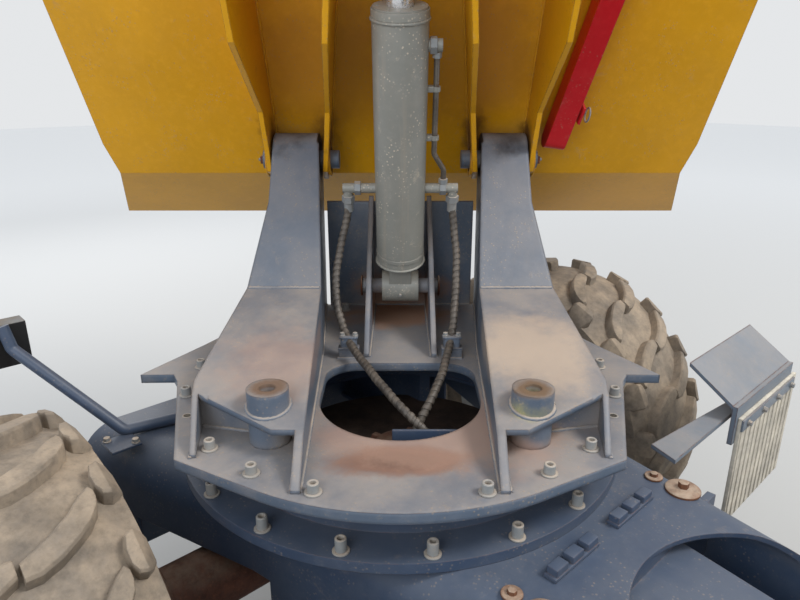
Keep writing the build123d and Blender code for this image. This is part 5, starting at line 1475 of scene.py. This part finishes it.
class MakeLamps(bpy.types.Operator):
    """Lenses and bezels of the front and rear lamps, and the beacon's foot"""

    bl_idname = "dumper.lamps"
    bl_label = "Lamps"

    front_x = 0.8
    rear_x = 0.35
    # Name, finish, and reach from the rear lamp's middle
    panels = (
        ("rear_red", "red_lens", 0.005, 0.063),
        ("rear_amber", "amber_lens", -0.032, 0.002),
        ("rear_clear", "glass", -0.063, -0.035),
    )

    def execute(self, context):
        low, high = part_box("front_lamps")
        face, z = high.y, (low.z + high.z) / 2
        lenses, bezels = Shape(), Shape()
        for hand in HANDS:
            x = hand * self.front_x
            profile = ((0, 0), (0, 0.045), (0.003, 0.045), (0.007, 0.03), (0.008, 0))
            lenses.lathe((x, face, z), (x, face + 1, z), profile, 40)
            bezels.ring((x, face - 0.002, z), (x, face + 0.006, z), 0.052, 0.0452, 40)
        lenses.show("front_lenses", "front_frame", "glass")
        bezels.show("front_bezels", "front_frame", "black")
        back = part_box("rear_lamps")[0].y
        for name, look_of, near, far in self.panels:
            panel = Shape()
            for hand in HANDS:
                reach = (hand * (self.rear_x + near), hand * (self.rear_x + far))
                panel.block(reach, (back - 0.006, back), (0.828, 0.892), 0.002)
            panel.show(name, "rear_frame", look_of)
        low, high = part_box("beacon")
        x, y = (low.x + high.x) / 2, (low.y + high.y) / 2
        foot = Shape()
        foot.ring((x, y, low.z), (x, y, low.z + 0.031), 0.0565, 0.047, 48)
        foot.show("beacon_foot", "roll_bar", "black")
        return {"FINISHED"}


class MakeSeat(bpy.types.Operator):
    """The operator's seat: two cushions with seams on a shell"""

    bl_idname = "dumper.seat"
    bl_label = "Seat"

    sides = 80
    side_layers = 5
    crown_layers = 10
    squareness = 5
    side_share = 0.82
    seam_layers = (3, 4)
    seam_depth = 0.006

    def outline(self, length, width, inset, level):
        """A rounded rectangle at a level, inset from the cushion's length and width."""
        spots = []
        power = self.squareness
        for turn in turns(self.sides):
            reach = (abs(cos(turn)) ** power + abs(sin(turn)) ** power) ** (-1 / power)
            x = (width / 2 - inset) * reach * cos(turn)
            spots.append((x, (length / 2 - inset) * reach * sin(turn), level))
        return spots

    def cushion(self, name, length, width, depth, place):
        """A cushion with a crowned face and rounded sides, drawn on its back."""
        rings = []
        for layer in range(self.side_layers + 1):
            quarter = layer / self.side_layers * pi / 2
            inset = depth * 0.35 * (1 - cos(quarter)) if layer else 0.004
            rings.append(self.outline(length, width, inset, depth * sin(quarter) * self.side_share))
        rim = rings[-1]
        for layer in range(1, self.crown_layers):
            share = 1 - layer / self.crown_layers
            level = depth * (self.side_share + (1 - self.side_share) * cos(share * pi / 2))
            if layer in self.seam_layers:
                level -= self.seam_depth
            rings.append([(x * share, y * share, level) for x, y, _ in rim])
        part = bmesh.new()
        skin(part, [[part.verts.new(spot) for spot in ring] for ring in rings])
        cushion = Shape(place)
        cushion.take(part)
        piece = cushion.show(name, "rear_frame", "black", "seat_vinyl")
        return piece

    def execute(self, context):
        lap = axes_at((0, -1.235, 1.318), (1, 0, 0), (0, -0.02, 1))
        back = axes_at((0, -1.408, 1.585), (1, 0, 0), (0, 1, 0.19))
        base = self.cushion("seat_cushion", 0.30, 0.455, 0.075, lap)
        self.cushion("back_cushion", 0.34, 0.44, 0.055, back)
        shell = Shape()
        shell.block((-0.232, 0.232), (-1.40, -1.09), (1.2905, 1.322), 0.006)
        back_plate = ((-1.385, 1.30), (-1.43, 1.30), (-1.452, 1.756), (-1.402, 1.756))
        shell.prism("x", back_plate, -0.2345, 0.2345, 0.012)
        shell.show("seat_shell", "rear_frame", "black")
        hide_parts("seat")
        return {"FINISHED"}


class MakeControls(bpy.types.Operator):
    """Steering knob, instrument panel, levers, pedals and grab rails"""

    bl_idname = "dumper.controls"
    bl_label = "Controls"

    cowl_slope = Vector((0, -0.832, 0.555))
    knob_circle = 0.175
    knob_turn = 2.4
    lever_x = 0.35
    lever_places = (-1.30, -1.19)
    pedal_places = (-0.15, 0.11)
    gauge_places = (-0.2, -0.1, 0.1, 0.2)
    rail_x = 0.36
    rail_places = (-0.66, -0.46)

    def black_parts(self):
        """Panels on the cowl, the lever console's top, knobs, gaiters and pedals."""
        black = Shape()
        panel = ((-0.607, 1.440), (-0.672, 1.342), (-0.677, 1.346), (-0.612, 1.444))
        for low in (-0.25, 0.05):
            black.prism("x", panel, low, low + 0.2, 0.001)
        black.block((0.288, 0.412), (-1.36, -1.10), (1.335, 1.362), 0.004)
        knob = ((0, 0.008), (0.01, 0.014), (0.04, 0.016), (0.058, 0.01), (0.06, 0))
        gaiter = ((0, 0.032), (0.008, 0.030), (0.018, 0.016), (0.026, 0.010), (0.027, 0))
        for y in self.lever_places:
            black.lathe((self.lever_x, y, 1.49), (self.lever_x, y + 0.02, 1.60), knob, 24)
            black.lathe((self.lever_x, y, 1.36), (self.lever_x, y, 2), gaiter, 24)
        pedal = ((-0.745, 0.985), (-0.735, 0.985), (-0.690, 1.085), (-0.700, 1.089))
        for x in self.pedal_places:
            black.prism("x", pedal, x, x + 0.075, 0.002)
        black.show("black_controls", "rear_frame", "black")

    def wheel_parts(self):
        """The steering wheel's knob and hub cap."""
        wheel = Shape(WHEEL)
        x, y = self.knob_circle * cos(self.knob_turn), self.knob_circle * sin(self.knob_turn)
        knob = ((0, 0.009), (0.008, 0.009), (0.014, 0.019), (0.03, 0.021), (0.042, 0.012), (0.045, 0))
        wheel.lathe((x, y, 0.028), (x, y, 1), knob, 28)
        wheel.lathe((0, 0, 0.030), (0, 0, 1), ((0, 0.03), (0.004, 0.03), (0.008, 0.022), (0.009, 0)), 32)
        wheel.show("wheel_trim", "rear_frame", "grip")

    def gauges(self):
        rims, faces = Shape(), Shape()
        for x in self.gauge_places:
            middle = Vector((x, -0.6425, 1.393)) + 0.002 * self.cowl_slope
            rims.ring(middle, middle + 0.009 * self.cowl_slope, 0.03, 0.025, 32)
            faces.rod(middle, middle + 0.006 * self.cowl_slope, 0.0255, 32, 0.0005)
        rims.show("gauge_rims", "rear_frame", "steel")
        faces.show("gauge_faces", "rear_frame", "glass")

    def painted_parts(self):
        """The lever console and the grab rails on their foot plates."""
        painted = Shape()
        painted.block((0.295, 0.405), (-1.35, -1.11), (FLOOR_TOP, 1.336), 0.006)
        for hand in HANDS:
            x = hand * self.rail_x
            back, front = self.rail_places
            foot_z, bend_z, top_z = FLOOR_TOP, 1.41, 1.42
            route = (
                (front, foot_z), (front, bend_z), (front - 0.01, top_z), (back + 0.01, top_z), (back, bend_z),
                (back, foot_z),
            )
            line = spline_points("rail", [Vector((x, y, z)) for y, z in route])
            painted.tube(line, 0.016, 20)
            for y in (front, back):
                foot = (hand * 0.325, hand * 0.395)
                painted.block(foot, (y - 0.03, y + 0.03), (FLOOR_TOP, FLOOR_TOP + 0.008), 0.001)
        painted.show("painted_controls", "rear_frame", "frame")

    def execute(self, context):
        self.black_parts()
        self.wheel_parts()
        self.gauges()
        self.painted_parts()
        steel = Shape()
        for y in self.lever_places:
            steel.rod((self.lever_x, y, 1.36), (self.lever_x, y, 1.495), 0.006, 16)
        for x in self.pedal_places:
            steel.rod((x + 0.0375, -0.70, FLOOR_TOP), (x + 0.0375, -0.722, 1.03), 0.007, 14)
        steel.show("lever_rods", "rear_frame", "bolt")
        return {"FINISHED"}


class MakeTreadPlate(bpy.types.Operator):
    """Raised diamonds on the platform's floor and studs on the step treads"""

    bl_idname = "dumper.tread_plate"
    bl_label = "Tread plate"

    row_count = 33
    row_pitch = 0.0205
    column_reach = 20
    pitch = 0.034
    diamond_size = (0.013, 0.0045, 0.0022)
    sunk = 0.0005
    # Height, inner reach and studs across of each step tread
    treads = ((0.459, 0.785, 7), (0.704, 0.745, 5))
    stud_rows = 10
    stud_pitch = (0.0235, 0.024)

    def diamond(self):
        long_half, short_half, height = self.diamond_size
        part = bmesh.new()
        corners = ((-long_half, 0, 0), (0, -short_half, 0), (long_half, 0, 0), (0, short_half, 0))
        low = [part.verts.new(spot) for spot in corners]
        high = [part.verts.new((0.6 * vert.co.x, 0.6 * vert.co.y, height)) for vert in low]
        skin(part, [low, high])
        shape = Shape()
        shape.take(part)
        return shape.to_mesh("diamond")

    def on_floor(self, x, y):
        """Whether a spot is on the open floor: not under the cowl or beside the platform."""
        wide = abs(x) < 0.7 and y > -0.70
        narrow = abs(x) < 0.43 and -1.06 < y <= -0.70
        cowl = abs(x) < 0.31 and -0.70 < y < -0.42
        return (wide or narrow) and not cowl

    def execute(self, context):
        spots = []
        for row in range(self.row_count):
            for column in range(2 * self.column_reach + 1):
                x, y = (column - self.column_reach) * self.pitch, -0.385 - row * self.row_pitch
                if self.on_floor(x, y):
                    turn = pi / 4 if (row + column) % 2 else -pi / 4
                    spots.append(standing(CHASSIS, (x, y, FLOOR_TOP - self.sunk), turn=turn))
        repeat("floor_diamonds", self.diamond(), spots, "rear_frame", "frame")
        spots = []
        for z, low, across in self.treads:
            for hand in HANDS:
                for row in range(self.stud_rows):
                    for column in range(across):
                        x = hand * (low + column * self.stud_pitch[0])
                        y = -0.442 - row * self.stud_pitch[1]
                        spots.append(standing(CHASSIS, (x, y, z - self.sunk)))
        stud = Shape()
        stud.ring((0, 0, 0), (0, 0, 0.004), 0.0075, 0.0045, 16, 0.0006)
        repeat("step_studs", stud.to_mesh("stud"), spots, "rear_frame", "frame")
        return {"FINISHED"}


class MakeBonnetParts(bpy.types.Operator):
    """Louvres, grille, handle, latches and swages of the bonnet"""

    bl_idname = "dumper.bonnet_parts"
    bl_label = "Bonnet parts"

    side = 0.42
    louvre_y = -2.04
    louvre_count = 9
    louvre_pitch = 0.03
    slat_count = 8
    slat_pitch = 0.028
    swage_heights = (1.02, 1.30)
    handle_x = 0.07

    def execute(self, context):
        louvre = Shape()
        outline = ((0.0, -0.011), (0.0065, -0.006), (0.0065, -0.003), (0.0, 0.009))
        louvre.prism("y", outline, -0.18, 0.18, 0.0006)
        spots = []
        for hand in HANDS:
            turn = CHASSIS if hand > 0 else Matrix.Rotation(pi, 4, "Z")
            for step in range(self.louvre_count):
                z = 1.0 + self.louvre_pitch * step
                spots.append(Matrix.Translation((hand * self.side, self.louvre_y, z)) @ turn)
        repeat("louvres", louvre.to_mesh("louvre"), spots, "bonnet", "cover", sharp=radians(25))
        black = Shape()
        for step in range(self.slat_count):
            z = 0.985 + self.slat_pitch * step
            black.block((-0.24, 0.24), (-2.306, -2.299), (z, z + 0.013), 0.001)
        black.block((-self.handle_x, self.handle_x), (-1.70, -1.69), (1.438, 1.449), 0.003)
        for hand in HANDS:
            x = hand * self.handle_x
            black.block((x - 0.006, x + 0.006), (-1.702, -1.688), (1.412, 1.446), 0.002)
            black.block((hand * 0.418, hand * 0.427), (-1.668, -1.636), (0.93, 1.02), 0.003)
            black.block((hand * 0.418, hand * 0.4295), (-1.664, -1.640), (0.985, 0.998), 0.003)
        black.show("grille", "bonnet", "black")
        swages = Shape()
        swages.block((-0.405, 0.405), (-1.6035, -1.598), (0.93, 0.936), 0.001)
        for z in self.swage_heights:
            swages.block((-0.30, 0.30), (-1.6055, -1.598), (z, z + 0.01), 0.002)
        swages.show("bonnet_swages", "bonnet", "cover")
        return {"FINISHED"}


class MakeRearParts(bpy.types.Operator):
    """Tank caps and straps, exhaust clamps, roll bar pins and counterweight bolts"""

    bl_idname = "dumper.rear_parts"
    bl_label = "Rear parts"

    strap_places = (-0.62, -0.46)
    strap_half = 0.014
    post_x = 0.45
    post_y = -1.53
    hinge_z = 2.0
    foot_plate = 0.006
    clamp_heights = (0.97, 1.5)
    exhaust = (0.478, -1.75)
    bolt_x = 0.24
    bolt_heights = (0.6, 0.76)

    def tank_parts(self):
        """Straps round the tanks, pin heads and exhaust clamps, and the tank caps."""
        low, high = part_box("tanks")
        straps, caps = Shape(), Shape()
        cap = ((0, 0.03), (0.012, 0.03), (0.012, 0.038), (0.028, 0.036), (0.031, 0.03), (0.031, 0))
        for hand in HANDS:
            for y in self.strap_places:
                along = (y - self.strap_half, y + self.strap_half)
                side = (hand * (high.x - 0.0005), hand * (high.x + 0.003))
                straps.block(side, along, (low.z - 0.003, 0.952), 0.0008)
                under = (hand * 0.515, hand * (high.x + 0.003))
                straps.block(under, along, (low.z - 0.003, low.z + 0.0005), 0.0008)
            caps.lathe((hand * 0.575, high.y, 0.87), (hand * 0.575, 1, 0.87), cap, 32)
            for near, far in ((0.498, 0.506), (0.402, 0.394)):
                place = (self.post_y, self.hinge_z)
                straps.rod((hand * near, *place), (hand * far, *place), 0.019, 28)
        x, y = self.exhaust
        for z in self.clamp_heights:
            straps.ring((x, y, z), (x, y, z + 0.014), 0.0325, 0.0275, 40)
            straps.block((x - 0.0025, x + 0.0025), (y - 0.047, y - 0.03), (z + 0.001, z + 0.013), 0.001)
        straps.show("straps", "rear_frame", "steel")
        caps.show("tank_caps", "rear_frame", "black")

    def execute(self, context):
        self.tank_parts()
        top = DECK + self.foot_plate
        spots = [
            standing(CHASSIS, (hand * self.bolt_x, -2.34, z), (0, -1, 0))
            for hand in HANDS for z in self.bolt_heights
        ]
        for hand in HANDS:
            for side in HANDS:
                spots.append(standing(CHASSIS, (hand * self.post_x, self.post_y - 0.002 + side * 0.055, top)))
        bolt = hex_bolt(0.030, 0.017, 0.024)
        repeat("rear_bolts", bolt, spots, "rear_frame", "bolt", play=0.5, seed=12)
        feet = Shape()
        paths = []
        for hand in HANDS:
            feet.block((hand * 0.40, hand * 0.50), (-1.605, -1.455), (DECK, top), 0.001)
            x, half, z = hand * self.post_x, 0.0405, top + 0.001
            corners = ((-half, -half), (half, -half), (half, half), (-half, half), (-half, -half))
            paths.append([(x + aside, self.post_y + along, z) for aside, along in corners])
        feet.show("post_feet", "rear_frame", "frame")
        weld("post_welds", CHASSIS, paths, "rear_frame", "frame", seed=6)
        return {"FINISHED"}


class DumperPanel(bpy.types.Panel):
    """Sizes, colours and the buttons that make each group of pieces"""

    bl_idname = "VIEW3D_PT_dumper"
    bl_label = "Dumper"
    bl_space_type = "VIEW_3D"
    bl_region_type = "UI"
    bl_category = "Dumper"

    def draw(self, context):
        layout = self.layout
        for operator in OPERATORS:
            layout.operator(operator.bl_idname)
        for group in (context.scene.dumper_colours, context.scene.dumper_sizes, context.scene.dumper_stage):
            box = layout.box()
            for name in group.bl_rna.properties.keys():
                if name not in ("rna_type", "name"):
                    box.prop(group, name)


OPERATORS = (
    MakeStage,
    MakeHoses,
    MakeFinishes,
    MakeTyres,
    MakeWheelHubs,
    MakeRingBolts,
    MakeConsoleWelds,
    MakeHoseClamps,
    MakePivots,
    MakeRamFittings,
    MakeSkipDetails,
    MakeFrontFrameParts,
    MakeMudflapRibs,
    MakeLamps,
    MakeSeat,
    MakeControls,
    MakeTreadPlate,
    MakeBonnetParts,
    MakeRearParts,
)
GROUPS = {"dumper_colours": DumperColours, "dumper_sizes": DumperSizes, "dumper_stage": DumperStage}


def register():
    for group in (*GROUPS.values(), *OPERATORS, DumperPanel):
        bpy.utils.register_class(group)
    for name, group in GROUPS.items():
        setattr(bpy.types.Scene, name, PointerProperty(type=group))


def unregister():
    for name in GROUPS:
        delattr(bpy.types.Scene, name)
    for group in reversed((*GROUPS.values(), *OPERATORS, DumperPanel)):
        bpy.utils.unregister_class(group)


def main():
    """Makes every piece in order."""
    register()
    for operator in OPERATORS:
        family, name = operator.bl_idname.split(".")
        getattr(getattr(bpy.ops, family), name)()


if __name__ == "__main__":
    main()
